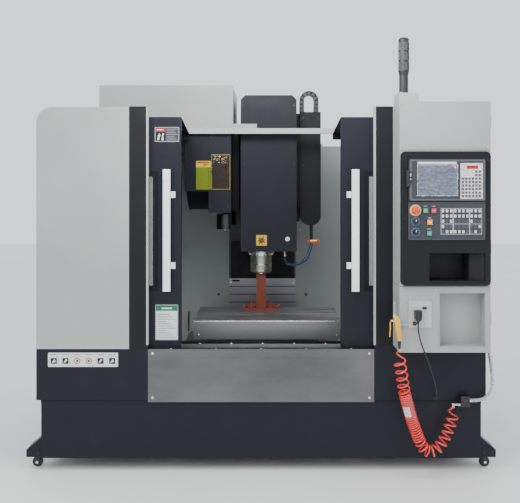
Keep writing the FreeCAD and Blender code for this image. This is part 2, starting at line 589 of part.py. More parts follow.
def tool_arm():
    """The cam box beside the magazine, and the double-ended arm on the shaft below it."""
    top = "hood_low - gap"
    box = block(("-mag_mid + gap", "-cam_right"), ("cam_front", "plate_front - 4 * plate_step - slide_gap"),
                ("cam_low", top))
    mount = block(("-mag_mid + gap", "-plate_left - 2 * gap"), ("cam_front", "column_front"),
                  ("cam_low", top))
    motor = rod("z", "-(mag_mid + cam_right) / 2", "cam_front + cam_motor_back", top,
                "cam_motor_radius", "cam_motor_high")
    node(joined([box, mount, motor]), "cam_box")
    bar = block(("-arm_x - arm_half", "-arm_x + arm_half"),
                ("arm_depth - arm_reach", "arm_depth + arm_reach"), ("arm_low", "arm_low + arm_high"))
    ends = []
    for side in (-1, 1):
        depth = f"arm_depth + {side} * arm_reach"
        ring = rod("z", "-arm_x", depth, "grip_low", "grip_radius", "grip_high")
        jaw = rod("z", "-arm_x", depth, "grip_low - cut_over", "pot_radius",
                  "grip_high + 2 * cut_over")
        far = f"-arm_x - {side} * 2 * grip_radius"
        mouth = block(("-arm_x", far) if side < 0 else (far, "-arm_x"),
                      (f"{depth} - pot_radius", f"{depth} + pot_radius"),
                      ("grip_low - cut_over", "grip_low + grip_high + cut_over"))
        ends.append(minus(ring, [jaw, mouth]))
    trims = [rod("z", "-arm_x", f"arm_depth + {side} * arm_reach", "arm_low - cut_over",
                 "pot_radius", "arm_high + 2 * cut_over") for side in (-1, 1)]
    shaft = rod("z", "-arm_x", "arm_depth", "arm_low + arm_high", "arm_shaft",
                "cam_low - gap - arm_low - arm_high")
    node(joined([minus(bar, trims), shaft] + ends), "tool_arm")


def magazine_hood():
    """The light cover over the magazine, with a lip along the top beam."""
    hood = shell(("-hood_left", "-hood_right"), ("hood_front", "cover_depth"), ("hood_low", "hood_top"),
                 "sheet", ("-z",))
    lip = block(("-hood_right", "-hood_right + hood_lip"), ("hood_front", "hood_front + sheet"),
                ("beam_bottom + beam_high", "beam_bottom + beam_high + hood_lip_high"))
    node(joined([hood, lip]), "magazine_hood")


# ---------------------------------------------------------------- enclosure
def cover(side, low):
    """The outside of a cover round one front corner of the enclosure, as a solid."""
    inner = f"{side} * (post_outer + slide_gap)"
    corners = [(inner, low), (f"{side} * half_width", low), (f"{side} * half_width", "cover_top"),
               (inner, "cover_top")]
    return plate("XZ_Plane", corners, "cover_depth", reverse=True)


def hollow(side):
    """The room inside a cover, down to the top of the skirt."""
    wall, middle = f"{side} * (half_width - sheet)", f"{side} * post_inner"
    corners = [(middle, "skirt_top"), (wall, "skirt_top"), (wall, "cover_top - sheet"),
               (middle, "cover_top - sheet")]
    return plate("XZ_Plane", corners, "cover_depth", depth="sheet", reverse=True)


def outer_top(middle):
    """Whether an edge is the one where the left side meets the roof."""
    return middle.x < -number("post_outer") - 1 and middle.z > number("skirt_top") + 1


def left_cover():
    """The big light cover at the left: front, side and a short roof."""
    outer = rounded(cover(-1, "skirt_top + slide_gap"), "y", "corner_round", outer_top)
    inner = rounded(hollow(-1), "y", "corner_round - sheet", outer_top)
    above = block(("-half_width - cut_over", "-post_inner"), ("roof_depth", "cover_depth + cut_over"),
                  ("cover_top - corner_round - sheet", "cover_top + cut_over"))
    node(minus(outer, [inner, above]), "left_cover")


def right_cover():
    """The right cover behind the control cabinet: front, side and a short roof."""
    above = block(("post_inner", "half_width + cut_over"), ("roof_depth", "cover_depth + cut_over"),
                  ("cover_top - corner_round", "cover_top + cut_over"))
    node(minus(cover(1, "desk_low + slide_gap"), [hollow(1), above]), "right_cover")


def lower_panels():
    """The dark skirts below the covers."""
    panels = []
    for side, high in ((-1, "skirt_top"), (1, "desk_low")):
        front = block(mirrored(side, ("post_inner + slide_gap", "half_width")), ("0", "sheet"),
                      ("skirt_bottom", high))
        flank = block(mirrored(side, ("half_width - sheet", "half_width")), ("sheet", "cover_depth"),
                      ("skirt_bottom", high))
        panels.append(joined([front, flank]))
    node(beside(panels), "lower_panels")


def posts():
    """The two dark posts beside the doorway, folded channels open at the back."""
    channels = []
    for side, low in ((-1, "skirt_top + slide_gap"), (1, "desk_low + slide_gap")):
        channels.append(shell(mirrored(side, ("post_inner", "post_outer")), ("-slide_gap", "post_depth"),
                              (low, "cover_top + post_rise"), "sheet", ("+y", "-z")))
    node(beside(channels), "door_posts")


def front_sheets():
    """The stainless apron under the doorway and the sill behind it that the doors run on."""
    edge = "post_inner"
    face = block((f"-{edge}", edge), ("0", "sheet"), ("skirt_bottom - apron_drop", "skirt_top"))
    flange = block((f"-{edge}", edge), ("sheet", "apron_flange"), ("skirt_top - sheet", "skirt_top"))
    node(joined([face, flange]), "apron")
    back = "sill_back"
    shelf = block(("-half_width + sheet", "half_width - sheet"), ("sheet", back),
                  ("sill_top - sheet", "sill_top"))
    drop = block(("-half_width + sheet", "half_width - sheet"), (f"{back} - sheet", back),
                 ("skirt_bottom + sill_foot", "sill_top - sheet"))
    track = block(("-half_width + sheet", "half_width - sheet"),
                  ("door_depth + door_thick / 2 - track_half", "door_depth + door_thick / 2 + track_half"),
                  ("sill_top", "door_low + track_rise"))
    node(beside([joined([shelf, drop, track])] + chip_pans()), "inner_sheets")


def chip_pans():
    """Two sloped sheets that shed chips from the side walls towards the bed."""
    pans = []
    for side in (-1, 1):
        high, low = "skirt_bottom + chip_low + chip_slope", "skirt_bottom + chip_low"
        corners = [(f"{side} * (half_width - sheet)", high), (f"{side} * chip_inner", low),
                   (f"{side} * chip_inner", f"{low} + sheet"),
                   (f"{side} * (half_width - sheet)", f"{high} + sheet")]
        pans.append(plate("XZ_Plane", corners, "cover_depth - sheet - sill_back",
                          depth="sill_back", reverse=True))
    return pans


def rear_guards():
    """The splash guards that close the work area on either side of the column."""
    guards = []
    wall = ("cover_depth - sheet", "cover_depth")
    for side, inner in ((-1, "plate_left + gap"), (1, "plate_right + gap")):
        flat = block(mirrored(side, (inner, "half_width - sheet")), wall, ("guard_low", "guard_top"))
        hole = rod("y", f"{side} * ({inner} + guard_hole_in)", "cover_depth - 2 * sheet",
                   "guard_hole_z", "guard_hole_radius", "3 * sheet")
        notch = block(("-mag_mid - gap", "-plate_left"),
                      ("cover_depth - 2 * sheet", "cover_depth + cut_over"),
                      ("cam_low - gap", "guard_top + cut_over"))
        skirt = block(mirrored(side, ("bed_half + skirt_gap", "half_width - sheet")), wall,
                      ("skirt_bottom + chip_low", "guard_low"))
        guards.append(joined([minus(flat, [hole, notch]), skirt]))
    node(beside(guards), "rear_guards")


def top_beam():
    """The guide beam across the machine that the doors' roof wings run along."""
    node(block(("-half_width + sheet + slide_gap + gap", "half_width - sheet - slide_gap - gap"),
               ("beam_front", "beam_front + beam_thick"),
               ("beam_bottom", "beam_bottom + beam_high")), "top_beam")


def door(side, name):
    """One sliding door: a folded panel with a window, a roof wing that reaches the beam, a handle."""
    inner, outer = "door_inner", "door_inner + door_wide"
    front, back = "door_depth", "door_depth + door_thick"
    low = "door_low"
    skin = shell(mirrored(side, (inner, outer)), (front, back), (low, "door_top"), "sheet", ("+y",))
    seen = mirrored(side, ("door_inner + window_in", "door_inner + window_in + window_wide"))
    window = block(seen, ("door_depth - cut_over", "door_depth + sheet + cut_over"),
                   ("window_low", "window_low + window_high"))
    groove = block(mirrored(side, (f"{inner} - cut_over", f"{outer} + cut_over")),
                   ("door_depth + door_thick / 2 - track_half - slide_gap",
                    "door_depth + door_thick / 2 + track_half + slide_gap"),
                   ("door_low - cut_over", "door_low + track_rise + groove_over"))
    profile = [(back, "door_top - sheet"), (back, "door_top"),
               ("wing_back", "door_top - wing_drop"), ("wing_back", "door_top - wing_drop - wing_lip"),
               ("wing_back - sheet", "door_top - wing_drop - wing_lip"),
               ("wing_back - sheet", "door_top - wing_drop - sheet")]
    start = inner if side > 0 else f"-({outer})"
    wing = plate("YZ_Plane", profile, "door_wide", x=start)
    node(joined([minus(skin, [window, groove]), wing]), f"{name}_door")
    pane = mirrored(side, ("door_inner + window_in - pane_lap",
                           "door_inner + window_in + window_wide + pane_lap"))
    node(block(pane, ("door_depth + sheet", "door_depth + sheet + pane"),
               ("window_low - pane_lap", "window_low + window_high + pane_lap")), f"{name}_window")
    grip_x = ("door_inner + handle_in", "door_inner + handle_in + handle_wide")
    bar = block(mirrored(side, grip_x),
                ("door_depth - handle_proud", "door_depth - handle_proud + handle_bar"),
                ("handle_low", "handle_low + handle_high"))
    mounts = []
    for base in ("handle_low + tab_low", "handle_low + handle_high - tab_low - tab_high"):
        mounts.append(block(mirrored(side, (f"{grip_x[0]} - tab_reach", grip_x[1])),
                            ("door_depth - tab_thick", "door_depth"), (base, f"{base} + tab_high")))
        mounts.append(block(mirrored(side, (f"{grip_x[0]} + tab_in", f"{grip_x[1]} - tab_in")),
                            ("door_depth - handle_proud + handle_bar", "door_depth - tab_thick"),
                            (f"{base} + neck_in", f"{base} + tab_high - neck_in")))
    node(joined([bar] + mounts), f"{name}_handle")


# ---------------------------------------------------------------- controls
def stem_hole(x, z, radius="push_stem + bore_gap"):
    """A blind hole behind the operator panel for a button's stem."""
    return rod("y", x, "-desk_front - console_thick - keys_thick - cut_over", z, radius,
               "keys_thick + stem_deep + push_travel + 3 * cut_over")


BUTTONS = {
    "start_button": ("green_x", "upper_z"), "stop_button": ("red_x", "upper_z"),
    "orange_button": ("orange_x", "orange_z"), "cycle_button": ("cycle_x", "cycle_z"),
}


def holes():
    """The stem holes of every button and selector."""
    spots = list(BUTTONS.values()) + [("stop_x", "stop_z"), ("knob_x", "feed_z"), ("knob_x", "speed_z")]
    return [stem_hole(x, z) for x, z in spots]


def control_cabinet():
    """The cabinet at the right front, with its tray and lower niche, mast foot and dark console front."""
    body = block(("desk_left", "desk_right"), ("-desk_front", "0"), ("desk_low", "desk_top"))
    mast = block(("desk_left", "mast_right"), ("-mast_front", "-mast_back"), ("desk_top", "mast_top"))
    tray = block(("tray_left", "tray_right"), ("-desk_front - cut_over", "-desk_front + tray_deep"),
                 ("tray_low", "tray_top"))
    niche = block(("niche_left", "niche_right"),
                  ("-desk_front - cut_over", "-desk_front + niche_deep"),
                  ("niche_low", "niche_top"))
    room = block(("desk_left + sheet", "desk_right - sheet"), ("-desk_front + tray_deep + sheet", "0"),
                 ("desk_low + sheet", "desk_top - sheet"))
    node(minus(joined([body, mast, gun_hook()]), [tray, niche, room]), "control_cabinet")
    corners = rectangle("desk_left + console_inset", "desk_right - console_inset", "console_low",
                        "console_top")
    front = plate("XZ_Plane", corners, "console_thick", depth="-desk_front")
    rounded(front, "y", "console_round")
    mouth = block(("tray_left", "tray_right"),
                  ("-desk_front - console_thick - cut_over", "-desk_front + cut_over"),
                  ("tray_low", "tray_top"))
    node(minus(front, [mouth] + holes()), "console")


def display_unit():
    """The screen housing on the console."""
    face = "-desk_front - console_thick"
    piece = plate("XZ_Plane", rectangle("0", "screen_wide", "0", "screen_high"), "screen_thick",
                  x="screen_left", depth=face, z="screen_low")
    rounded(piece, "y", "corner_small")
    node(piece, "display_unit")


def operator_panel():
    """The key plate below the display, pierced for every button and selector."""
    face = "-desk_front - console_thick"
    flat = plate("XZ_Plane", rectangle("0", "keys_wide", "0", "keys_high"), "keys_thick",
                 x="keys_left", depth=face, z="keys_low")
    rounded(flat, "y", "corner_small")
    collar = rod("y", "stop_x", f"{face} - keys_thick - collar_thick", "stop_z", "stop_collar",
                 "collar_thick")
    hole = rod("y", "stop_x", f"{face} - keys_thick - collar_thick - cut_over", "stop_z",
               "push_stem + bore_gap", "collar_thick + 2 * cut_over")
    node(minus(joined([flat, collar]), holes() + [hole]), "operator_panel")


def buttons():
    """The emergency stop, the square push buttons and the two turning knobs."""
    face = "-desk_front - console_thick - keys_thick"
    front = "-collar_thick - stop_proud"
    end = "keys_thick + stem_deep - collar_thick"
    mushroom = [("0", front), ("stop_radius - stop_round", front),
                ("stop_radius", f"{front} + stop_round"), ("stop_radius", "-collar_thick - stop_rim"),
                ("stop_radius - stop_neck", "-collar_thick - stop_gap"),
                ("push_stem", "-collar_thick - stop_gap"), ("push_stem", end), ("0", end)]
    node(turned("y", mushroom, x="stop_x", depth=face, z="stop_z"), "emergency_stop")
    for label, (x, z) in BUTTONS.items():
        cap = block((f"{x} - push_half", f"{x} + push_half"),
                    (f"{face} - push_proud", f"{face} - push_travel - gap"),
                    (f"{z} - push_half", f"{z} + push_half"))
        stem = rod("y", x, f"{face} - push_travel - gap", z, "push_stem",
                   "push_travel + gap + keys_thick + stem_deep")
        node(joined([cap, stem]), label)
    for label, z in (("feed_knob", "feed_z"), ("speed_knob", "speed_z")):
        knob = [("0", "-knob_proud"), ("knob_radius - knob_taper", "-knob_proud"),
                ("knob_radius", "-gap"),
                ("push_stem", "-gap"), ("push_stem", "keys_thick + stem_deep"),
                ("0", "keys_thick + stem_deep")]
        node(turned("y", knob, x="knob_x", depth=face, z=z), label)


def service_socket():
    """The socket plate low on the cabinet with the plug that stays in it."""
    flat = block(("socket_left", "socket_left + socket_wide"),
                 ("-desk_front - socket_thick", "-desk_front"),
                 ("socket_low", "socket_low + socket_high"))
    dial = rod("y", "plug_x - dial_in", "-desk_front - socket_thick - dial_proud",
               "socket_low + dial_up", "dial_radius", "dial_proud")
    node(joined([flat, dial]), "service_socket")
    plug = block(("plug_x - plug_half", "plug_x + plug_half"),
                 ("-desk_front - socket_thick - plug_proud", "-desk_front - socket_thick"),
                 ("plug_low", "plug_low + plug_high"))
    node(plug, "plug")


def signal_lamp():
    """The lamp column on the mast, a little wider above its stem."""
    body = [("0", "0"), ("lamp_radius - lamp_step", "0"), ("lamp_radius - lamp_step", "lamp_high / 3"),
            ("lamp_radius + lamp_step", "lamp_high * 2 / 5"),
            ("lamp_radius + lamp_step", "lamp_high - lamp_crown"),
            ("lamp_radius - lamp_top_in", "lamp_high"), ("0", "lamp_high")]
    node(turned("z", body, x="lamp_x", depth="-lamp_depth", z="mast_top"), "signal_lamp")


def electric_cabinet():
    """The cabinet behind the column, with its door standing slightly proud."""
    body = block(("-elec_half", "elec_half"), ("bed_back", "elec_back - leaf_thick"),
                 ("elec_low", "elec_top"))
    leaf = block(("-elec_half + leaf_in", "elec_half - leaf_in"),
                 ("elec_back - leaf_thick", "elec_back"),
                 ("elec_low + leaf_in", "elec_top - leaf_in"))
    node(joined([body, leaf]), "electric_cabinet")


# ---------------------------------------------------------------- air gun
def gun_hook():
    """The bar on the cabinet's front edge that the blow gun hangs from."""
    return block(("gun_x + hook_in", "desk_left + hook_reach"),
                 ("-gun_front + gun_thick + gap", "-desk_front"),
                 ("gun_top - hook_drop", "gun_top - hook_drop + hook_high"))


def air_gun():
    """The blow gun with its nozzle tube, swivel and trigger."""
    deep = ("-gun_front", "-gun_front + gun_thick")
    body = plate("XZ_Plane", [("gun_x - gun_half", "gun_top - 22"), ("gun_x - 6", "gun_top"),
                              ("gun_x + 10", "gun_top - 14"), ("gun_x + gun_half", "gun_low + 20"),
                              ("gun_x + gun_half", "gun_low"), ("gun_x + 2", "gun_low"),
                              ("gun_x - 8", "gun_low + 60")],
                 "gun_thick", depth=deep[0], reverse=True)
    middle = "-gun_front + gun_thick / 2"
    swivel = rod("z", "swivel_x", middle, "swivel_low", "swivel_radius", "gun_low - swivel_low + 2")
    tube = rod("z", "gun_x - tip_in", middle, "gun_top - tip_drop", "tip_radius", "tip_long")
    edge = "gun_x - gun_half"
    pivot = block((f"{edge} - pivot_half", f"{edge} + pivot_half"),
                  (f"{middle} - pivot_deep", f"{middle} + pivot_deep"),
                  ("gun_top - pivot_drop", "gun_top - pivot_drop + pivot_high"))
    node(joined([body, swivel, tube, pivot]), "air_gun")
    node(block((f"{edge} - trigger_out", f"{edge} - trigger_out + trigger_wide"),
               (f"{middle} - trigger_deep", f"{middle} + trigger_deep"),
               ("gun_low + trigger_up", "gun_top - pivot_drop - slide_gap")), "gun_trigger")


# ---------------------------------------------------------------- coolant tank
def coolant_tank():
    """An open trough across the front with an arm along each side of the bed."""
    trough = shell(("-tank_half", "tank_half"), ("tank_front", "tank_front + tank_deep"),
                   ("tank_low", "tank_top"), "tank_wall", ("+z",))
    arms = []
    for side in (-1, 1):
        arms.append(shell(mirrored(side, ("arm_inner", "arm_outer")),
                          ("tank_front + tank_deep", "arm_back"),
                          ("tank_low", "arm_tank_top"), "tank_wall", ("+z",)))
    brackets = []
    for side in (-1, 1):
        corners = [(f"{side} * tank_half", "tank_low"), (f"{side} * bracket_out", "tank_low"),
                   (f"{side} * bracket_out", "bracket_slope"), (f"{side} * tank_half", "bracket_top")]
        brackets.append(plate("XZ_Plane", corners, "bracket_deep", depth="bracket_front", reverse=True))
    skids = [block((f"{side} * skid_x - skid_half", f"{side} * skid_x + skid_half"),
                   ("arm_back - 4 * skid_half", "arm_back - 2 * skid_half"), ("0", "tank_low"))
             for side in (-1, 1)]
    node(joined([trough] + arms + brackets + skids), "coolant_tank")


def fork(x, depth, top):
    """Two cheeks and a top plate that straddle a caster wheel whose axle runs along Y."""
    half = "wheel_thick / 2 + wheel_gap"
    cheeks = []
    for low, high in ((f"-({half}) - fork_thick", f"-({half})"), (half, f"{half} + fork_thick")):
        cheeks.append(block((f"{x} - cheek_half", f"{x} + cheek_half"),
                            (f"{depth} + {low}", f"{depth} + {high}"),
                            ("wheel_radius - cheek_drop", f"{top} - fork_plate")))
    crown = block((f"{x} - crown_half", f"{x} + crown_half"),
                  (f"{depth} - ({half}) - fork_thick", f"{depth} + {half} + fork_thick"),
                  (f"{top} - fork_plate", top))
    axle = rod("y", x, f"{depth} - ({half}) - fork_thick", "wheel_radius", "axle_radius",
               f"2 * ({half} + fork_thick)")
    return cheeks + [crown, axle]


def wheel(x, depth, label):
    """One caster wheel, bored for its axle and rounded at its tread."""
    bore, half = "axle_radius + bore_gap", "wheel_thick / 2"
    tread = [(bore, f"-{half}"), ("wheel_radius - wheel_round", f"-{half}"),
             ("wheel_radius", f"-{half} + wheel_round"), ("wheel_radius", f"{half} - wheel_round"),
             ("wheel_radius - wheel_round", half), (bore, half)]
    node(turned("y", tread, x=x, depth=depth, z="wheel_radius"), label)


def casters():
    """The two swivelling casters under the tank's end brackets."""
    turn_depth = "bracket_front + bracket_deep / 2"
    for side, name in ((-1, "left"), (1, "right")):
        x = f"{side} * (wheel_x - caster_trail)"
        swivel = rod("z", f"{side} * wheel_x", turn_depth, "tank_low - fork_plate - gap",
                     "crown_radius", "fork_plate")
        node(joined(fork(x, turn_depth, "tank_low - gap") + [swivel]), f"{name}_caster_fork")
        wheel(x, turn_depth, f"{name}_wheel")


# ---------------------------------------------------------------- hoses
def hose_fittings():
    """The valve block that feeds the air hose, and the gland on the right side."""
    valve = block(("valve_left", "valve_right"), ("-valve_proud", "0"), ("valve_low", "valve_top"))
    notch = block(("valve_left - cut_over", "valve_right + cut_over"), ("-valve_notch", "cut_over"),
                  ("valve_low - cut_over", "skirt_bottom"))
    middle = "-valve_proud + valve_wide / 2"
    outlet = rod("x", "outlet_x - valve_stub", middle, "outlet_z", "valve_stub",
                 "valve_left - outlet_x + valve_stub")
    drop = rod("z", "outlet_x", middle, "outlet_z - outlet_drop", "outlet_radius", "outlet_drop")
    elbow = rod("x", "valve_right", middle, "valve_low + elbow_up", "valve_stub + 2", "elbow_long")
    grommet = rod("y", "grommet_x", "-grommet_thick", "grommet_z", "grommet_radius", "grommet_thick")
    gland = rod("z", "half_width + gland_radius", "gland_depth", "gland_z", "gland_radius", "gland_long")
    base = block(("half_width", "half_width + gland_radius"),
                 ("gland_depth - gland_radius", "gland_depth + gland_radius"),
                 ("gland_z", "gland_z + gland_long"))
    node(beside([joined([minus(valve, [notch]), outlet, drop, elbow]), joined([gland, base]), grommet]),
         "hose_fittings")


RED_COIL_RADIUS = 33
RED_COIL = [(1046, -40, 371.7), (1046, -40, 322), (1022, -52, 264), (994, -64, 206), (956, -74, 156),
            (914, -82, 138), (876, -92, 158), (848, -104, 212), (826, -118, 268), (803, -132, 326),
            (786, -146, 384), (768, -160, 442), (753, -174, 500), (742, -190, 558), (732, -206, 612),
            (721, -221, 664), (721, -221, 717.7)]
BLACK_CABLE_RADIUS = 4
BLACK_CABLE = [(822, -202, 866), (822, -202, 812), (834, -212, 758), (856, -204, 702),
               (880, -176, 650), (904, -132, 596), (926, -90, 544), (944, -66, 494), (953, -52, 452),
               (957, -40, 420), (957, -22, 410), (957, -6, 410)]
CLEAR_HOSE_RADIUS = 10
CLEAR_HOSE = [(1149, -40, 406), (1180, -40, 406), (1216, -38, 414), (1252, -28, 444),
              (1272, -5, 494), (1275, 22, 552), (1270, 38, 620), (1262, 50, 690), (1254, 58, 760),
              (1252, 60, 830), (1252, 60, 900)]


def hose(route, radius, label):
    """A round tube along straight runs joined by tangent arcs."""
    points = [FreeCAD.Vector(x, number("front_y") + depth, z) for x, depth, z in route]
    edges = []
    start = points[0]
    length = 0
    for before, corner, after in zip(points, points[1:], points[2:]):
        toward, onward = (before - corner).normalize(), (after - corner).normalize()
        half_turn = (math.pi - toward.getAngle(onward)) / 2
        reach = 0.45 * min((before - corner).Length, (after - corner).Length)
        bend = reach / math.tan(half_turn)
        first, last = corner + toward * reach, corner + onward * reach
        inward = (toward + onward).normalize()
        middle = corner + inward * (bend / math.cos(half_turn) - bend)
        edges += [Part.LineSegment(start, first).toShape(), Part.Arc(first, middle, last).toShape()]
        length += (first - start).Length + 2 * half_turn * bend
        start = last
        print(f"{label}: bend radius {bend:.0f} mm, turn {math.degrees(2 * half_turn):.0f} degrees")
    edges.append(Part.LineSegment(start, points[-1]).toShape())
    length += (points[-1] - start).Length
    circle = Part.Circle(points[0], points[1] - points[0], radius).toShape()
    solid = Part.Wire(edges).makePipeShell([Part.Wire(circle)], True, False)
    expected = math.pi * radius * radius * length
    print(f"{label}: length {length:.0f} mm, volume {solid.Volume / expected:.4f} of section x length")
    piece = doc.addObject("Part::Feature", "hose")
    piece.Shape = solid
    node(piece, label)


base_castings()
saddle()
table()
shipping_brace()
head()
spindle()
clamp_button()
way_covers()
duct()
coolant_nozzle()
magazine()
tool_arm()
magazine_hood()
left_cover()
right_cover()
lower_panels()
posts()
front_sheets()
rear_guards()
top_beam()
door(-1, "left")
door(1, "right")
control_cabinet()
display_unit()
operator_panel()
buttons()
service_socket()
signal_lamp()
electric_cabinet()
air_gun()
coolant_tank()
casters()
hose_fittings()
hose(RED_COIL, RED_COIL_RADIUS, "red_coil")
hose(BLACK_CABLE, BLACK_CABLE_RADIUS, "black_cable")
hose(CLEAR_HOSE, CLEAR_HOSE_RADIUS, "clear_hose")
doc.recompute()

for item in doc.Objects:
    if "Invalid" in item.State or "Error" in item.State:
        raise ValueError(f"{item.Name} did not build")
os.makedirs("parts", exist_ok=True)
for item in NODES:
    if item.Shape.isNull() or not item.Shape.isValid():
        raise ValueError(f"{item.Label} has no valid shape")
for item in NODES:
    item.Shape.exportStep(f"parts/{item.Label}.step")
print(len(NODES), "nodes")
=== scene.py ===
"""Finishes a vertical machining centre round its CAD frame: paint, metal, panel, labels and hoses."""
import math
import random

import bmesh
import bpy
from mathutils import Matrix, Vector


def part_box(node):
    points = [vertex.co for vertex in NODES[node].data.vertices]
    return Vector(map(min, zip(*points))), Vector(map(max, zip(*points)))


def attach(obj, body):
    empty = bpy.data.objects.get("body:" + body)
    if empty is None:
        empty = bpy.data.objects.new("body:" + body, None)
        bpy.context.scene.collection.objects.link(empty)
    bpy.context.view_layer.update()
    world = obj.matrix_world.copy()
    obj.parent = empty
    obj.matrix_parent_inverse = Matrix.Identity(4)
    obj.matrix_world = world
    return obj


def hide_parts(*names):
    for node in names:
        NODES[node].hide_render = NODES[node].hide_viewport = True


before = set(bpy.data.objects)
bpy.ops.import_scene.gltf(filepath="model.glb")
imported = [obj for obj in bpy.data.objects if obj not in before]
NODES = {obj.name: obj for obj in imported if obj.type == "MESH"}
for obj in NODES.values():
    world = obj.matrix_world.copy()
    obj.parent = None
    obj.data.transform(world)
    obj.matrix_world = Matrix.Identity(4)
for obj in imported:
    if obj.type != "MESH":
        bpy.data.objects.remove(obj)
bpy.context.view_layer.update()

bl_info = {
    "name": "Machining Centre Finisher",
    "version": (1, 0, 0),
    "blender": (4, 5, 0),
    "location": "View3D > Sidebar > Machine",
    "description": "Builds the finished surfaces, small parts, hoses and studio of a machining centre",
    "category": "Object",
}

MM = 0.001


def low(node):
    """The lowest corner of a CAD node, in millimetres."""
    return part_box(node)[0] / MM


def high(node):
    """The highest corner of a CAD node, in millimetres."""
    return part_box(node)[1] / MM


def extent(node):
    """The lowest and highest corners of a CAD node, in millimetres."""
    return low(node), high(node)


FRONT = low("apron").y      # the plane of the apron's face, in millimetres
SHARP_FROM = 35             # degrees at which an edge is shaded sharp
BEVEL_FROM = 40             # degrees at which an edge gets a small radius


# ---------------------------------------------------------------- settings a user can change
def length(label, description, default):
    return bpy.props.FloatProperty(name=label, description=description, default=default,
                                   unit="LENGTH", min=0.0)


def colour(label, description, default):
    return bpy.props.FloatVectorProperty(name=label, description=description, default=default,
                                         subtype="COLOR", size=3, min=0.0, max=1.0)


class MachineSizes(bpy.types.PropertyGroup):
    """Sizes of the small parts that are added to the machine."""
    screw: length("Screw head", "Radius of a panel screw's head", 7 * MM)
    edge: length("Edge", "Radius of a folded sheet's corners", 1.2 * MM)
    seam: length("Seam", "Width of the shadow line between two panels", 2.5 * MM)
    hose: length("Air hose", "Outside diameter of the curly air hose", 9 * MM)
    coil: length("Coil", "Radius of the curly hose's turns at their middle", 28.5 * MM)
    link: length("Chain link", "Pitch of the cable chain", 25 * MM)


class MachineColours(bpy.types.PropertyGroup):
    """Paint and plastic colours."""
    light: colour("Light paint", "Covers, hood and cabinets", (0.325, 0.352, 0.340))
    dark: colour("Dark paint", "Doors, skirts, head and tank", (0.0080, 0.0092, 0.0152))
    post: colour("Post paint", "Door posts and console", (0.0062, 0.0080, 0.0094))
    iron: colour("Iron paint", "Bed and column castings", (0.14, 0.16, 0.165))
    brace: colour("Brace paint", "Transport brace", (0.155, 0.026, 0.008))
    hose: colour("Air hose", "Curly air hose", (0.74, 0.045, 0.030))
    gun: colour("Air gun", "Moulded body of the air gun", (0.80, 0.40, 0.02))
    handle: colour("Handle", "Door handles", (0.80, 0.82, 0.82))
    film: colour("Film", "Protective film over screens and hoses", (0.090, 0.110, 0.150))


def sizes():
    return bpy.context.scene.machine_sizes


def colours():
    return bpy.context.scene.machine_colours


# ---------------------------------------------------------------- materials
class Nodes:
    """A short way to write a material's node tree."""

    def __init__(self, name):
        self.material = bpy.data.materials.new(name)
        self.material.use_nodes = True
        self.tree = self.material.node_tree
        self.shader = self.tree.nodes["Principled BSDF"]
        self.place = self.add("ShaderNodeTexCoord").outputs["Object"]

    def add(self, kind, **values):
        node = self.tree.nodes.new(kind)
        for key, value in values.items():
            if hasattr(node, key):
                setattr(node, key, value)
        return node

    def link(self, source, target):
        self.tree.links.new(source, target)

    def noise(self, scale, detail=3.0, stretch=None, rough=0.55):
        """A noise of so many cells a metre, stretched along an axis where that is asked for."""
        texture = self.add("ShaderNodeTexNoise")
        texture.inputs["Scale"].default_value = scale
        texture.inputs["Detail"].default_value = detail
        texture.inputs["Roughness"].default_value = rough
        source = self.place
        if stretch:
            mapping = self.add("ShaderNodeMapping")
            mapping.inputs["Scale"].default_value = stretch
            self.link(source, mapping.inputs["Vector"])
            source = mapping.outputs["Vector"]
        self.link(source, texture.inputs["Vector"])
        return texture.outputs["Fac"]

    def ramp(self, source, start, stop, low_value=0.0, high_value=1.0):
        """Maps a stretch of a value to another."""
        node = self.add("ShaderNodeMapRange")
        for key, value in (("From Min", start), ("From Max", stop), ("To Min", low_value),
                           ("To Max", high_value)):
            node.inputs[key].default_value = value
        self.link(source, node.inputs["Value"])
        return node.outputs["Result"]

    def mix(self, amount, first, second):
        """Blends two colours, each a colour or another node's output."""
        node = self.add("ShaderNodeMix", data_type="RGBA")
        if isinstance(amount, float):
            node.inputs["Factor"].default_value = amount
        else:
            self.link(amount, node.inputs["Factor"])
        for socket, value in (("A", first), ("B", second)):
            target = next(s for s in node.inputs if s.name == socket and s.type == "RGBA")
            if isinstance(value, tuple):
                target.default_value = (*value, 1.0)
            else:
                self.link(value, target)
        return next(s for s in node.outputs if s.type == "RGBA")

    def math(self, operation, first, second):
        node = self.add("ShaderNodeMath", operation=operation)
        for socket, value in zip(node.inputs, (first, second)):
            if isinstance(value, (int, float)):
                socket.default_value = value
            else:
                self.link(value, socket)
        return node.outputs[0]

    def bump(self, source, distance, strength=1.0):
        node = self.add("ShaderNodeBump")
        node.inputs["Distance"].default_value = distance
        node.inputs["Strength"].default_value = strength
        self.link(source, node.inputs["Height"])
        return node.outputs["Normal"]

    def edges(self, radius):
        """1 near an edge of the shape, 0 away from it."""
        bevel = self.add("ShaderNodeBevel", samples=4)
        bevel.inputs["Radius"].default_value = radius
        flat = self.add("ShaderNodeNewGeometry")
        dot = self.add("ShaderNodeVectorMath", operation="DOT_PRODUCT")
        self.link(bevel.outputs["Normal"], dot.inputs[0])
        self.link(flat.outputs["Normal"], dot.inputs[1])
        return self.ramp(dot.outputs["Value"], 0.995, 0.80)

    def set(self, **values):
        for key, value in values.items():
            self.shader.inputs[key.replace("_", " ")].default_value = value

    def finish(self, colour=None, roughness=None, normal=None):
        for key, value in (("Base Color", colour), ("Roughness", roughness), ("Normal", normal)):
            if value is not None:
                self.link(value, self.shader.inputs[key])
        return self.material


def shade(colour, factor):
    return tuple(min(1.0, part * factor) for part in colour)


DUST = (0.16, 0.155, 0.15)


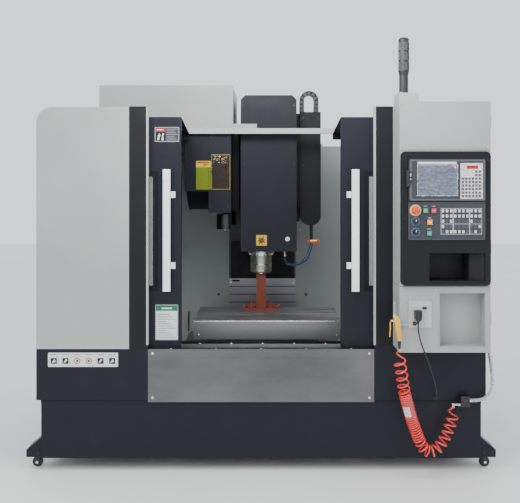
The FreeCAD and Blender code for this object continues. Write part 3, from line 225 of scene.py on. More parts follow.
def powder_coat(name, colour, roughness=0.42, wear=0.35, gleam=0.42):
    """Satin powder coat: orange peel, faint cloudy patches, handling marks and rubbed edges."""
    nodes = Nodes(name)
    cloudy = nodes.ramp(nodes.noise(2.2, 4), 0.35, 0.7)
    smudge = nodes.ramp(nodes.noise(9, 6), 0.56, 0.75, 0.0, 0.22)
    tone = nodes.mix(cloudy, shade(colour, 0.93), shade(colour, 1.07))
    tone = nodes.mix(smudge, tone, tuple(0.93 * part + 0.07 * grey for part, grey in zip(colour, DUST)))
    rub = nodes.math("MULTIPLY", nodes.edges(2.5 * MM), nodes.ramp(nodes.noise(60, 5), 0.45, 0.65))
    tone = nodes.mix(nodes.math("MULTIPLY", rub, wear), tone,
                     tuple(0.5 * part + 0.12 for part in colour))
    peel = nodes.bump(nodes.noise(420, 2), 0.10 * MM, 0.35)
    gloss = nodes.ramp(nodes.noise(14, 5), 0.3, 0.75, roughness - 0.06, roughness + 0.12)
    nodes.set(Specular_IOR_Level=gleam)
    return nodes.finish(tone, gloss, peel)


def brushed(name, colour, along="x", roughness=0.26, smear=0.4, metal=1.0):
    """Brushed sheet: fine lines along one axis, with broad smears and fingerprints over them."""
    nodes = Nodes(name)
    stretch = {"x": (1.2, 90, 90), "y": (90, 1.2, 90), "z": (90, 90, 1.2)}[along]
    lines = nodes.noise(14, 6, stretch, 0.75)
    smears = nodes.ramp(nodes.noise(1.7, 5, (0.8, 1, 1.6), 0.6), 0.40, 0.66)
    prints = nodes.ramp(nodes.noise(28, 5), 0.52, 0.72, 0.0, 0.5)
    tone = nodes.mix(nodes.ramp(lines, 0.3, 0.7), shade(colour, 0.82), shade(colour, 1.12))
    tone = nodes.mix(nodes.math("MULTIPLY", smears, smear), tone, shade(colour, 0.62))
    gloss = nodes.math("ADD", nodes.ramp(lines, 0.25, 0.75, roughness - 0.06, roughness + 0.08),
                       nodes.math("MULTIPLY", nodes.math("ADD", smears, prints), 0.16))
    nodes.set(Metallic=metal, Anisotropic=0.45)
    return nodes.finish(tone, gloss, nodes.bump(lines, 0.06 * MM, 0.35))


def machined(name, colour, roughness=0.3):
    """Ground or turned steel with fine tool marks and a few stains."""
    nodes = Nodes(name)
    marks = nodes.noise(700, 3)
    stains = nodes.ramp(nodes.noise(11, 7), 0.5, 0.72)
    tone = nodes.mix(stains, shade(colour, 1.05), shade(colour, 0.68))
    gloss = nodes.ramp(nodes.noise(25, 6), 0.3, 0.7, roughness - 0.07, roughness + 0.16)
    nodes.set(Metallic=1.0)
    return nodes.finish(tone, gloss, nodes.bump(marks, 0.04 * MM, 0.3))


def casting(name, colour):
    """Painted cast iron, pebbled, with darker hollows."""
    nodes = Nodes(name)
    pebbles = nodes.noise(160, 5)
    tone = nodes.mix(nodes.ramp(nodes.noise(7, 5), 0.35, 0.7), shade(colour, 0.8), shade(colour, 1.12))
    rub = nodes.math("MULTIPLY", nodes.edges(3 * MM), 0.5)
    tone = nodes.mix(rub, tone, (0.3, 0.3, 0.3))
    gloss = nodes.ramp(nodes.noise(30, 4), 0.3, 0.7, 0.45, 0.66)
    return nodes.finish(tone, gloss, nodes.bump(pebbles, 0.5 * MM, 0.5))


def moulded(name, colour, roughness=0.45, grain=0.05, clear=0.0):
    """Moulded plastic with a fine grain and slight mottling."""
    nodes = Nodes(name)
    tone = nodes.mix(nodes.ramp(nodes.noise(45, 4), 0.3, 0.7), shade(colour, 0.9), shade(colour, 1.08))
    gloss = nodes.ramp(nodes.noise(60, 4), 0.3, 0.7, roughness - 0.06, roughness + 0.1)
    nodes.set(Coat_Weight=clear, Coat_Roughness=0.2)
    return nodes.finish(tone, gloss, nodes.bump(nodes.noise(1500, 2), grain * MM, 0.5))


def rubber(name, colour=(0.014, 0.014, 0.015)):
    nodes = Nodes(name)
    tone = nodes.mix(nodes.ramp(nodes.noise(40, 5), 0.4, 0.75), colour, (0.045, 0.043, 0.04))
    gloss = nodes.ramp(nodes.noise(90, 4), 0.3, 0.7, 0.55, 0.8)
    return nodes.finish(tone, gloss, nodes.bump(nodes.noise(900, 3), 0.08 * MM, 0.6))


def soft_hose(name, colour):
    """Slightly milky polyurethane tube."""
    nodes = Nodes(name)
    tone = nodes.mix(nodes.ramp(nodes.noise(70, 4), 0.35, 0.7), shade(colour, 0.82), shade(colour, 1.15))
    gloss = nodes.ramp(nodes.noise(130, 4), 0.3, 0.7, 0.16, 0.34)
    nodes.set(Subsurface_Weight=0.25, Subsurface_Radius=(0.012, 0.004, 0.003), Subsurface_Scale=1.0,
              Coat_Weight=0.35, Coat_Roughness=0.12)
    return nodes.finish(tone, gloss, nodes.bump(nodes.noise(300, 3), 0.05 * MM, 0.4))


def wrinkled_film(name, colour, alpha=0.55, crease=1.2):
    """Thin protective film that wrinkles and catches the light."""
    nodes = Nodes(name)
    folds = nodes.noise(55, 6, (1, 1, 2.2), 0.7)
    tone = nodes.mix(nodes.ramp(folds, 0.42, 0.62), shade(colour, 0.8), shade(colour, 1.6))
    gloss = nodes.ramp(nodes.noise(30, 4), 0.3, 0.7, 0.10, 0.30)
    nodes.set(Alpha=alpha, Coat_Weight=0.6, Coat_Roughness=0.08)
    return nodes.finish(tone, gloss, nodes.bump(folds, crease * MM, 0.8))


def glazing(name):
    """Tinted laminated pane, with wipe marks in its gloss."""
    nodes = Nodes(name)
    wipes = nodes.noise(9, 6, (3, 1, 0.6))
    tone = nodes.mix(nodes.ramp(wipes, 0.4, 0.7), (0.62, 0.68, 0.68), (0.74, 0.79, 0.78))
    nodes.set(Transmission_Weight=0.85, IOR=1.48)
    return nodes.finish(tone, nodes.ramp(wipes, 0.35, 0.7, 0.03, 0.14), None)


def printed(name, colour, roughness=0.35):
    """Ink or foil on a label: nearly flat, with small scuffs."""
    nodes = Nodes(name)
    scuff = nodes.ramp(nodes.noise(120, 6), 0.62, 0.74, 0.0, 0.3)
    tone = nodes.mix(scuff, colour, tuple(0.75 * part + 0.06 for part in colour))
    nodes.set(Specular_IOR_Level=0.25)
    gloss = nodes.ramp(nodes.noise(50, 4), 0.3, 0.7, roughness - 0.08, roughness + 0.12)
    return nodes.finish(tone, gloss, nodes.bump(nodes.noise(400, 2), 0.02 * MM, 0.4))


def painted_glow_cap(name, colour):
    """Translucent push-button cap with a faint emission that is painted glow."""
    nodes = Nodes(name)
    tone = nodes.mix(nodes.ramp(nodes.noise(160, 3), 0.35, 0.7), shade(colour, 0.85), shade(colour, 1.1))
    nodes.set(Emission_Color=(*colour, 1.0), Emission_Strength=0.12, Coat_Weight=0.4, Coat_Roughness=0.1)
    return nodes.finish(tone, nodes.ramp(nodes.noise(200, 3), 0.3, 0.7, 0.22, 0.36), None)


MATERIALS = {}


def make_materials():
    """Every finish on the machine, by name."""
    paint = colours()

    MATERIALS.update({
        "light_paint": powder_coat("light_paint", tuple(paint.light), 0.40, 0.15),
        "dark_paint": powder_coat("dark_paint", tuple(paint.dark), 0.42, 0.25, gleam=0.22),
        "post_paint": powder_coat("post_paint", tuple(paint.post), 0.46, 0.25, gleam=0.22),
        "stainless": brushed("stainless", (0.175, 0.175, 0.180), roughness=0.30, smear=0.75),
        "way_sheet": brushed("way_sheet", (0.48, 0.48, 0.51), "x", 0.36, 0.25, 0.5),
        # The rear guards, top beam and lower guards take the light paint made 1.25 times brighter: a lit
        # copy of it, painted light for the light that falls in through the open roof.
        "inner_paint_lit": powder_coat("inner_paint_lit", shade(tuple(paint.light), 1.25), 0.45, 0.15),
        "table_steel": brushed("table_steel", (0.38, 0.38, 0.39), "x", 0.33, 0.45, 0.85),
        "coil_film": wrinkled_film("coil_film", (0.60, 0.16, 0.15), 0.22, 2.2),
        "hose_grey": soft_hose("hose_grey", (0.30, 0.32, 0.34)),
        "stainless_up": brushed("stainless_up", (0.50, 0.52, 0.51), "z", 0.33, 0.3),
        "cast_iron": casting("cast_iron", tuple(paint.iron)),
        "ground_steel": machined("ground_steel", (0.42, 0.42, 0.43)),
        "bright_steel": machined("bright_steel", (0.72, 0.72, 0.71), 0.2),
        "nose_steel": machined("nose_steel", (0.46, 0.49, 0.37), 0.42),
        "screw_steel": machined("screw_steel", (0.66, 0.66, 0.66), 0.24),
        "brass": machined("brass", (0.72, 0.50, 0.20), 0.26),
        "brace_paint": powder_coat("brace_paint", tuple(paint.brace), 0.5, 0.6),
        "stud_red": powder_coat("stud_red", (0.30, 0.035, 0.03), 0.4, 0.7),
        "handle_white": powder_coat("handle_white", tuple(paint.handle), 0.34, 0.1),
        "window_glass": glazing("window_glass"),
        "panel_plastic": moulded("panel_plastic", (0.024, 0.026, 0.036), 0.44),
        "black_plastic": moulded("black_plastic", (0.012, 0.012, 0.014), 0.38),
        "grey_plastic": moulded("grey_plastic", (0.075, 0.080, 0.095), 0.45),
        "dark_screw": machined("dark_screw", (0.045, 0.045, 0.05), 0.34),
        "dark_steel": machined("dark_steel", (0.05, 0.05, 0.055), 0.36),
        "white_plastic": moulded("white_plastic", (0.62, 0.64, 0.64), 0.4),
        "socket_plastic": moulded("socket_plastic", (0.42, 0.44, 0.43), 0.42),
        "lamp_plastic": moulded("lamp_plastic", (0.012, 0.0125, 0.015), 0.5, 0.02),
        "lamp_lens": moulded("lamp_lens", (0.014, 0.015, 0.020), 0.32, 0.01, 0.1),
        "stop_red": moulded("stop_red", (0.62, 0.022, 0.015), 0.3, 0.02, 0.3),
        "stop_yellow": moulded("stop_yellow", (0.85, 0.52, 0.08), 0.4, 0.03),
        # The three push-button caps below carry a faint painted glow.
        "start_green": painted_glow_cap("start_green", (0.02, 0.30, 0.22)),
        "cap_red": painted_glow_cap("cap_red", (0.55, 0.05, 0.06)),
        "orange_cap": painted_glow_cap("orange_cap", (0.85, 0.30, 0.05)),
        "gun_yellow": moulded("gun_yellow", tuple(paint.gun), 0.36, 0.06, 0.08),
        "hose_red": soft_hose("hose_red", tuple(paint.hose)),
        "hose_blue": soft_hose("hose_blue", (0.02, 0.055, 0.13)),
        "valve_red": moulded("valve_red", (0.60, 0.03, 0.02), 0.35),
        "cable_black": rubber("cable_black"),
        "wheel_rubber": rubber("wheel_rubber", (0.018, 0.018, 0.018)),
        "gasket": powder_coat("gasket", (0.006, 0.0065, 0.0080), 0.6, 0.0, gleam=0.15),
        "film": wrinkled_film("film", tuple(paint.film), 1.0, 0.5),
        "clear_film": wrinkled_film("clear_film", (0.55, 0.58, 0.62), 0.5, 2.0),
        "white_film": wrinkled_film("white_film", (0.62, 0.60, 0.58), 0.92, 1.6),
        "seam": printed("seam", (0.010, 0.011, 0.012), 0.7),
        "ink_white": printed("ink_white", (0.60, 0.62, 0.62)),
        "ink_grey": printed("ink_grey", (0.075, 0.078, 0.090)),
        "ink_pale": printed("ink_pale", (0.20, 0.205, 0.225)),
        "ink_black": printed("ink_black", (0.015, 0.015, 0.017)),
        "ink_red": printed("ink_red", (0.38, 0.016, 0.028)),
        "ink_green": printed("ink_green", (0.012, 0.15, 0.080)),
        "ink_yellow": printed("ink_yellow", (0.62, 0.42, 0.03)),
        # The lime and brown inks of the magazine plates are darkened to their look in the hood's shadow:
        # painted shade.
        "ink_lime_shaded": printed("ink_lime_shaded", (0.14, 0.19, 0.004), 0.3),
        "ink_brown_shaded": printed("ink_brown_shaded", (0.018, 0.011, 0.007), 0.3),
        "ink_blue": printed("ink_blue", (0.03, 0.08, 0.20)),
    })


# ---------------------------------------------------------------- shapes, all given in millimetres
def box_mesh(bm, low_corner, high_corner, turn=None):
    """A box between two corners, added to a mesh being built."""
    low_corner, high_corner = Vector(low_corner) * MM, Vector(high_corner) * MM
    centre, size = (low_corner + high_corner) / 2, high_corner - low_corner
    matrix = Matrix.Translation(centre) @ (turn or Matrix()) @ Matrix.Diagonal((*size, 1.0))
    bmesh.ops.create_cube(bm, size=1.0, matrix=matrix)


def rod_mesh(bm, start, stop, radius, end_radius=None, sides=24):
    """A capped rod or cone from one point to another."""
    start, stop = Vector(start) * MM, Vector(stop) * MM
    way = stop - start
    matrix = Matrix.Translation((start + stop) / 2) @ way.to_track_quat("Z", "Y").to_matrix().to_4x4()
    wide = radius if end_radius is None else end_radius
    bmesh.ops.create_cone(bm, cap_ends=True, segments=sides, radius1=radius * MM, radius2=wide * MM,
                          depth=way.length, matrix=matrix)


def ball_mesh(bm, centre, radius, around=20, up=12):
    """A ball, or a bead of weld where it is small."""
    bmesh.ops.create_uvsphere(bm, u_segments=around, v_segments=up, radius=radius * MM,
                              matrix=Matrix.Translation(Vector(centre) * MM))


def join_rows(bm, rows, closed=False):
    """Quads between neighbouring rows of corners that each go round."""
    count = len(rows[0])
    for first, second in zip(rows, rows[1:] + rows[:1] if closed else rows[1:]):
        for k in range(count):
            after = (k + 1) % count
            bm.faces.new((first[k], first[after], second[after], second[k]))


def ring_mesh(bm, centre, axis, inner, outer, deep, sides=32):
    """A flat ring with square edges that starts at centre and runs along axis."""
    centre, axis = Vector(centre), Vector(axis).normalized()
    across = axis.orthogonal().normalized()
    over = axis.cross(across)
    turns = [2 * math.pi * k / sides for k in range(sides)]
    rows = []
    for radius, far in ((inner, 0.0), (outer, 0.0), (outer, deep), (inner, deep)):
        rows.append([bm.verts.new((centre + axis * far
                                   + (across * math.cos(turn) + over * math.sin(turn)) * radius) * MM)
                     for turn in turns])
    join_rows(bm, rows, closed=True)


def prism_mesh(bm, outline, start, stop, axis="y"):
    """An outline pulled straight between two places on an axis."""
    place = {"x": lambda a, b, far: (far, a, b), "y": lambda a, b, far: (a, far, b),
             "z": lambda a, b, far: (a, b, far)}[axis]
    ends = [[bm.verts.new(Vector(place(a, b, far)) * MM) for a, b in outline] for far in (start, stop)]
    bm.faces.new(ends[0])
    bm.faces.new(list(reversed(ends[1])))
    join_rows(bm, ends)


def frame_mesh(bm, low_corner, high_corner, band, near, far):
    """One closed picture-frame ring standing in the xz plane, from depth near to depth far."""
    (x0, z0), (x1, z1) = low_corner, high_corner
    loops = []
    for inset, y in ((0.0, near), (band, near), (band, far), (0.0, far)):
        loops.append([bm.verts.new(Vector((x, y, z)) * MM) for x, z in
                      ((x0 + inset, z0 + inset), (x1 - inset, z0 + inset),
                       (x1 - inset, z1 - inset), (x0 + inset, z1 - inset))])
    join_rows(bm, loops, closed=True)


def frame_outline(x, z, radius, steps=6):
    """A rectangle with rounded corners, as (x, z) points."""
    points = []
    corners = ((x[1] - radius, z[1] - radius, 0), (x[0] + radius, z[1] - radius, 90),
               (x[0] + radius, z[0] + radius, 180), (x[1] - radius, z[0] + radius, 270))
    for middle_x, middle_z, first in corners:
        for step in range(steps + 1):
            turn = math.radians(first + 90 * step / steps)
            points.append((middle_x + radius * math.cos(turn), middle_z + radius * math.sin(turn)))
    return points


def settle(name, data, body, finish, edge=None, node=None):
    """Gives data an object with its finish, its softened edges and its body, and hides the CAD node it
    stands for.
    """
    item = bpy.data.objects.new(name, data)
    bpy.context.scene.collection.objects.link(item)
    data.materials.append(MATERIALS[finish])
    if edge:
        soften(item, edge * MM)
    if isinstance(data, bpy.types.Mesh):
        for face in data.polygons:
            face.use_smooth = True
        data.set_sharp_from_angle(angle=math.radians(SHARP_FROM))
    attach(item, body)
    if node:
        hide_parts(node)
    return item


def as_mesh(name, bm):
    """Turns a mesh being built into the data of an object, with its faces outward."""
    bmesh.ops.recalc_face_normals(bm, faces=bm.faces)
    mesh = bpy.data.meshes.new(name)
    bm.to_mesh(mesh)
    bm.free()
    return mesh


def piece(name, body, finish, fill, edge=None, node=None):
    """Makes one object from a function that fills its mesh, and fixes it to a body."""
    bm = bmesh.new()
    fill(bm)
    return settle(name, as_mesh(name, bm), body, finish, edge, node)


def soften(item, width):
    """Rounds an object's sharp edges by a small radius, in metres."""
    bevel = item.modifiers.new("edge", "BEVEL")
    bevel.width = width
    bevel.segments = 2
    bevel.limit_method = "ANGLE"
    bevel.angle_limit = math.radians(BEVEL_FROM)
    bevel.harden_normals = True


def screws(bm, places, radius):
    """Button-head screws with a socket, at places on a face that looks forward."""
    way, proud = Vector((0, -1, 0)), 3
    for place in places:
        place = Vector(place)
        rod_mesh(bm, place, place + way * proud * 0.5, radius, radius, 16)
        rod_mesh(bm, place + way * proud * 0.5, place + way * proud, radius, radius * 0.62, 16)
        ring_mesh(bm, place + way * proud * 0.99, way, radius * 0.28, radius * 0.5, proud * 0.12, 6)


# ---------------------------------------------------------------- studio
def make_camera():
    """A level camera in front of the machine, raised so that the whole front is seen square on."""
    camera = bpy.data.cameras.new("camera")
    camera.sensor_width = 36.0
    camera.lens = 52.9
    camera.shift_x = -0.002
    camera.shift_y = -0.1375
    item = bpy.data.objects.new("camera", camera)
    item.location = (0.0, FRONT * MM - 4.2, 1.606)
    item.rotation_euler = (math.radians(90), 0.0, 0.0)
    bpy.context.scene.collection.objects.link(item)
    bpy.context.scene.camera = item
    return item


def area_light(name, place, aim, size, power, tint=(1.0, 1.0, 1.0)):
    lamp = bpy.data.lights.new(name, "AREA")
    lamp.shape = "RECTANGLE"
    lamp.size, lamp.size_y = size
    lamp.energy = power
    lamp.color = tint
    item = bpy.data.objects.new(name, lamp)
    item.location = place
    item.rotation_euler = (Vector(aim) - Vector(place)).to_track_quat("-Z", "Y").to_euler()
    bpy.context.scene.collection.objects.link(item)


def make_stage():
    """Pale floor, even sky and soft lamps."""
    world = bpy.data.worlds.new("studio")
    world.use_nodes = True
    sky = world.node_tree.nodes["Background"]
    sky.inputs["Color"].default_value = (0.93, 0.96, 1.0, 1.0)
    sky.inputs["Strength"].default_value = 1.45
    bpy.context.scene.world = world
    bm = bmesh.new()
    bmesh.ops.create_grid(bm, x_segments=2, y_segments=2, size=14.0)
    mesh = bpy.data.meshes.new("floor")
    bm.to_mesh(mesh)
    bm.free()
    floor = bpy.data.objects.new("floor", mesh)
    bpy.context.scene.collection.objects.link(floor)
    nodes = Nodes("floor")
    tone = nodes.mix(nodes.ramp(nodes.noise(0.8, 4), 0.3, 0.7), (0.80, 0.80, 0.79), (0.86, 0.86, 0.85))
    gloss = nodes.ramp(nodes.noise(6, 5), 0.3, 0.7, 0.55, 0.7)
    mesh.materials.append(nodes.finish(tone, gloss, nodes.bump(nodes.noise(90, 4), 0.3 * MM, 0.4)))
    area_light("key", (-2.6, -5.0, 4.6), (0, -0.4, 1.0), (3.0, 2.2), 120, (1.0, 0.985, 0.96))
    area_light("fill", (3.6, -4.4, 2.6), (0.2, -0.6, 1.0), (2.6, 2.6), 40, (0.94, 0.97, 1.0))
    area_light("inside", (0, -1.75, 2.5), (0, 0.0, 1.1), (1.3, 0.5), 26)


# ---------------------------------------------------------------- cords
def row(points):
    """Points given as x, distance behind the door posts and height, in the machine's frame."""
    return [Vector((x, depth - 1.010, z)) for x, depth, z in points]


def path_spline(curve, points):
    spline = curve.splines.new("NURBS")
    spline.points.add(len(points) - 1)
    for point, place in zip(spline.points, points):
        point.co = (*place, 1.0)
    spline.order_u = 3
    spline.use_endpoint_u = True
    return spline


def tube_curve(name, points, radius):
    curve = bpy.data.curves.new(name, "CURVE")
    curve.dimensions = "3D"
    path_spline(curve, points)
    curve.bevel_depth = radius
    curve.bevel_resolution = 3
    curve.resolution_u = 8
    curve.use_fill_caps = True
    return curve


def walked(points, step):
    """The route of a NURBS path as evenly spaced points."""
    curve = bpy.data.curves.new("route", "CURVE")
    curve.dimensions = "3D"
    path_spline(curve, points)
    curve.resolution_u = 24
    item = bpy.data.objects.new("route", curve)
    bpy.context.scene.collection.objects.link(item)
    bpy.context.view_layer.update()
    mesh = bpy.data.meshes.new_from_object(item.evaluated_get(bpy.context.evaluated_depsgraph_get()))
    line = [vertex.co.copy() for vertex in mesh.vertices]
    bpy.data.objects.remove(item)
    bpy.data.curves.remove(curve)
    bpy.data.meshes.remove(mesh)
    even, carried = [line[0]], 0.0
    for first, second in zip(line, line[1:]):
        span = (second - first).length
        while span > 0 and carried + span >= step:
            share = (step - carried) / span
            first = first.lerp(second, share)
            even.append(first.copy())
            span, carried = (second - first).length, 0.0
        carried += span
    return even + [line[-1]]


def length_of(points):
    return sum((b - a).length for a, b in zip(points, points[1:]))


COIL_ROUTE = ((1.046, -0.040, 0.3717), (1.046, -0.040, 0.322), (1.022, -0.052, 0.264),
              (0.994, -0.064, 0.206), (0.956, -0.074, 0.156), (0.914, -0.082, 0.138),
              (0.876, -0.092, 0.158), (0.848, -0.104, 0.212), (0.826, -0.118, 0.268),
              (0.803, -0.132, 0.326), (0.786, -0.146, 0.384), (0.768, -0.160, 0.442),
              (0.753, -0.174, 0.500), (0.742, -0.190, 0.558), (0.732, -0.206, 0.612),
              (0.721, -0.221, 0.664), (0.721, -0.221, 0.7177))
CABLE_ROUTE = ((0.822, -0.202, 0.866), (0.822, -0.202, 0.812), (0.834, -0.212, 0.758),
               (0.856, -0.204, 0.702), (0.880, -0.176, 0.650), (0.904, -0.132, 0.596),
               (0.926, -0.090, 0.544), (0.944, -0.066, 0.494), (0.953, -0.052, 0.452),
               (0.957, -0.040, 0.420), (0.957, -0.022, 0.410), (0.957, -0.006, 0.410))
TWIN_ROUTE = ((1.149, -0.040, 0.406), (1.180, -0.040, 0.406), (1.216, -0.038, 0.414),
              (1.252, -0.028, 0.444), (1.272, -0.005, 0.494), (1.275, 0.022, 0.552),
              (1.270, 0.038, 0.620), (1.262, 0.050, 0.690), (1.254, 0.058, 0.760),
              (1.252, 0.060, 0.830), (1.252, 0.060, 0.900))


def coiled(line, radius, turns_at):
    """A helix round evenly spaced points; turns_at gives the turns reached at a share of the way."""
    total = len(line) - 1
    side = (line[1] - line[0]).orthogonal().normalized()
    points = []
    for index, place in enumerate(line):
        way = (line[min(index + 1, total)] - line[max(index - 1, 0)]).normalized()
        side = (side - way * side.dot(way)).normalized()
        share = index / total
        turn = 2 * math.pi * turns_at(share)
        reach = radius * min(1.0, share / 0.03, (1.0 - share) / 0.03)
        points.append(place + (side * math.cos(turn) + way.cross(side) * math.sin(turn)) * reach)
    return points


def swept(bm, points, radius, sides=10, cap=True):
    """A round tube along closely spaced points, added to a mesh."""
    way = (points[1] - points[0]).normalized()
    side = way.orthogonal().normalized()
    rings = []
    for index, place in enumerate(points):
        after, before = points[min(index + 1, len(points) - 1)], points[max(index - 1, 0)]
        way = (after - before).normalized()
        side = (side - way * side.dot(way)).normalized()
        over = way.cross(side)
        wide = radius(index / (len(points) - 1)) if callable(radius) else radius
        rings.append([bm.verts.new(place + (side * math.cos(turn) + over * math.sin(turn)) * wide)
                      for turn in (2 * math.pi * k / sides for k in range(sides))])
    for first, second in zip(rings, rings[1:]):
        for k in range(sides):
            after = (k + 1) % sides
            bm.faces.new((first[k], first[after], second[after], second[k]))
    if cap:
        bm.faces.new(list(reversed(rings[0])))
        bm.faces.new(rings[-1])


# Share of the way along the coil, with the number of turns reached there: spread turns down from the
# fitting, fanned turns round the low bend, a tight winding up the left, and open loops below the gun.
COIL_TURNS = ((0.0, 0.0), (0.05, 0.4), (0.28, 6.2), (0.42, 10.2), (0.52, 16.5), (0.74, 33.5),
              (0.80, 35.0), (0.95, 38.2), (1.0, 38.5))


def turns_reached(share):
    for (start, first), (stop, second) in zip(COIL_TURNS, COIL_TURNS[1:]):
        if share <= stop:
            return first + (second - first) * (share - start) / (stop - start)
    return COIL_TURNS[-1][1]


def air_coil():
    """The curly air hose that hangs in a U from the valve block up to the blow gun."""
    size = sizes()
    route = walked(row(COIL_ROUTE), 0.0011)
    points = coiled(route, size.coil, turns_reached)
    hose = piece("air_hose", "machine", "hose_red", lambda bm: swept(bm, points, size.hose / 2, 8),
                 node="red_coil")
    return hose, points


def side_cords():
    """The thin black lead to the service plug and the twin hose that climbs the right side."""
    lead_route, twin_route = row(CABLE_ROUTE), row(TWIN_ROUTE)
    lead = settle("plug_lead", tube_curve("plug_lead", lead_route, 3.8 * MM), "machine", "cable_black",
                  node="black_cable")
    twin = settle("coolant_hose", tube_curve("coolant_hose", twin_route, 9.4 * MM), "machine",
                  "clear_film", node="clear_hose")
    return lead, length_of(walked(lead_route, 0.002)), twin, length_of(walked(twin_route, 0.002))


class BuildCords(bpy.types.Operator):
    """Build the curly air hose, the plug's lead, the twin hose and the service socket's parts"""
    bl_idname = "machine.build_cords"
    bl_label = "Hoses and lead"

    def execute(self, context):
        hose, points = air_coil()
        lead, lead_length, twin, twin_length = side_cords()
        socket_details()
        return {"FINISHED"}


class BuildStage(bpy.types.Operator):
    """Set up the camera, the floor and the lamps"""
    bl_idname = "machine.build_stage"
    bl_label = "Studio"

    def execute(self, context):
        make_camera()
        make_stage()
        return {"FINISHED"}


# ---------------------------------------------------------------- finishes on the CAD parts
PLAIN_FINISHES = {
    "light_paint": ("left_cover", "right_cover", "magazine_hood", "control_cabinet", "electric_cabinet"),
    "dark_paint": ("left_door", "right_door", "lower_panels", "head_cover", "coolant_tank",
                   "magazine_shell", "cam_box"),
    "post_paint": ("door_posts", "console", "cable_duct"),
    "stainless": ("apron", "saddle"),
    "way_sheet": ("fixed_way_cover", "sliding_way_cover"),
    # The inside of the cabin takes the brightened copy of the light paint: painted light.
    "inner_paint_lit": ("rear_guards", "top_beam"),
    "stainless_up": ("inner_sheets",),
    "cast_iron": ("bed", "column", "head", "leveling_feet"),
    "table_steel": ("table",),
    "ground_steel": ("tool_disc",),
    "dark_steel": ("tool_arm",),
    "nose_steel": ("spindle_nose",),
    "bright_steel": ("spindle",),
    "brace_paint": ("shipping_brace",),
    "handle_white": ("left_handle", "right_handle"),
    "window_glass": ("left_window", "right_window"),
    "panel_plastic": ("operator_panel", "display_unit"),
    "socket_plastic": ("service_socket",),
    "lamp_plastic": ("signal_lamp",),
    "stop_red": ("emergency_stop",),
    "start_green": ("start_button", "cycle_button"),
    "cap_red": ("stop_button",),
    "orange_cap": ("orange_button",),
    "black_plastic": ("feed_knob", "speed_knob", "plug", "gun_trigger"),
    "white_plastic": ("clamp_button",),
    "gun_yellow": ("air_gun",),
    "hose_blue": ("coolant_nozzle",),
    "dark_screw": ("left_caster_fork", "right_caster_fork"),
    "wheel_rubber": ("left_wheel", "right_wheel"),
}
EDGED = {"left_cover", "right_cover", "magazine_hood", "control_cabinet", "electric_cabinet", "left_door",
         "right_door", "door_posts", "console", "apron", "table", "head_cover", "shipping_brace",
         "left_handle", "right_handle", "display_unit", "operator_panel", "coolant_tank", "lower_panels",
         "plug", "start_button", "stop_button", "orange_button", "cycle_button", "cam_box", "top_beam"}


class FinishFrame(bpy.types.Operator):
    """Give every CAD part its finish and a small edge radius"""
    bl_idname = "machine.finish_frame"
    bl_label = "Painted and machined parts"

    def execute(self, context):
        finishes = {node: name for name, nodes in PLAIN_FINISHES.items() for node in nodes}
        finishes["hose_fittings"] = "black_plastic"
        for name, item in NODES.items():
            if name not in finishes:
                continue
            item.data.materials.clear()
            item.data.materials.append(MATERIALS[finishes[name]])
            if name in EDGED:
                soften(item, sizes().edge)
        return {"FINISHED"}


class Art:
    """Flat shapes of ink, foil or sheet on one upright plane, gathered into a single object."""

    def __init__(self, corner, across=(1, 0, 0)):
        self.corner = Vector(corner)
        self.across = Vector(across)
        self.out = self.across.cross((0, 0, 1))
        self.bm = bmesh.new()
        self.finishes = []

    def shape(self, finish, points, layer=1.0, deep=0.0):
        """A closed outline on the plane, layer quarter-millimetres and deep millimetres proud of it."""
        if finish not in self.finishes:
            self.finishes.append(finish)
        rows = []
        for far in (-0.1, layer * 0.25 + deep):
            base = self.corner + self.out * far
            rows.append([self.bm.verts.new((base + self.across * u + Vector((0, 0, v))) * MM)
                         for u, v in points])
        first = len(self.bm.faces)
        self.bm.faces.new(rows[1])
        join_rows(self.bm, rows)
        self.bm.faces.ensure_lookup_table()
        for face in self.bm.faces[first:]:
            face.material_index = self.finishes.index(finish)

    def rect(self, finish, u, v, wide, tall, layer=1.0, deep=0.0):
        self.shape(finish, [(u, v), (u + wide, v), (u + wide, v + tall), (u, v + tall)], layer, deep)

    def rounded(self, finish, u, v, wide, tall, radius, layer=1.0, deep=0.0):
        self.shape(finish, frame_outline((u, u + wide), (v, v + tall), radius, 4), layer, deep)

    def disc(self, finish, u, v, radius, layer=1.0, deep=0.0, sides=28):
        turns = [2 * math.pi * k / sides for k in range(sides)]
        self.shape(finish, [(u + radius * math.cos(t), v + radius * math.sin(t)) for t in turns],
                   layer, deep)

    def rim(self, finish, u, v, wide, tall, line, layer=1.0):
        """Four strips along the inside of a rectangle's edges."""
        for at in (v, v + tall - line):
            self.rect(finish, u, at, wide, line, layer)
        for at in (u, u + wide - line):
            self.rect(finish, at, v + line, line, tall - 2 * line, layer)

    def screw(self, finish, u, v, head, socket, proud):
        """A low round screw head with a dark hexagon in it."""
        self.disc(finish, u, v, head, 1, proud, 14)
        self.disc("seam", u, v, socket, 1, proud + 0.2, 6)

    def build(self, name, body, slot):
        mesh = as_mesh(name, self.bm)
        settle(name, mesh, body, self.finishes[0])
        for finish in self.finishes[1:]:
            mesh.materials.append(MATERIALS[finish])


# ---------------------------------------------------------------- enclosure
def enclosure_trims():
    """Light strips down the inner edges of the posts, and rubber lips behind them."""
    bottom, top = low("door_posts").z + 22, high("door_posts").z
    edge, face = high("apron").x, low("door_posts").y

    def strips(bm):
        for side in (-1, 1):
            box_mesh(bm, (side * edge, face - 1.2, bottom),
                     (side * (edge + 9), face + 2, top - 2))
            box_mesh(bm, (side * (edge - 1.5), face - 1.2, bottom),
                     (side * edge, face + 30, top - 2))

    def lips(bm):
        for side in (-1, 1):
            inner, outer = sorted((side * (edge + 3), side * (edge + 8)))
            box_mesh(bm, (inner, face + 36, bottom), (outer, face + 42, top - 30))

    piece("post_trims", "machine", "light_paint", strips)
    piece("post_lips", "machine", "gasket", lips)


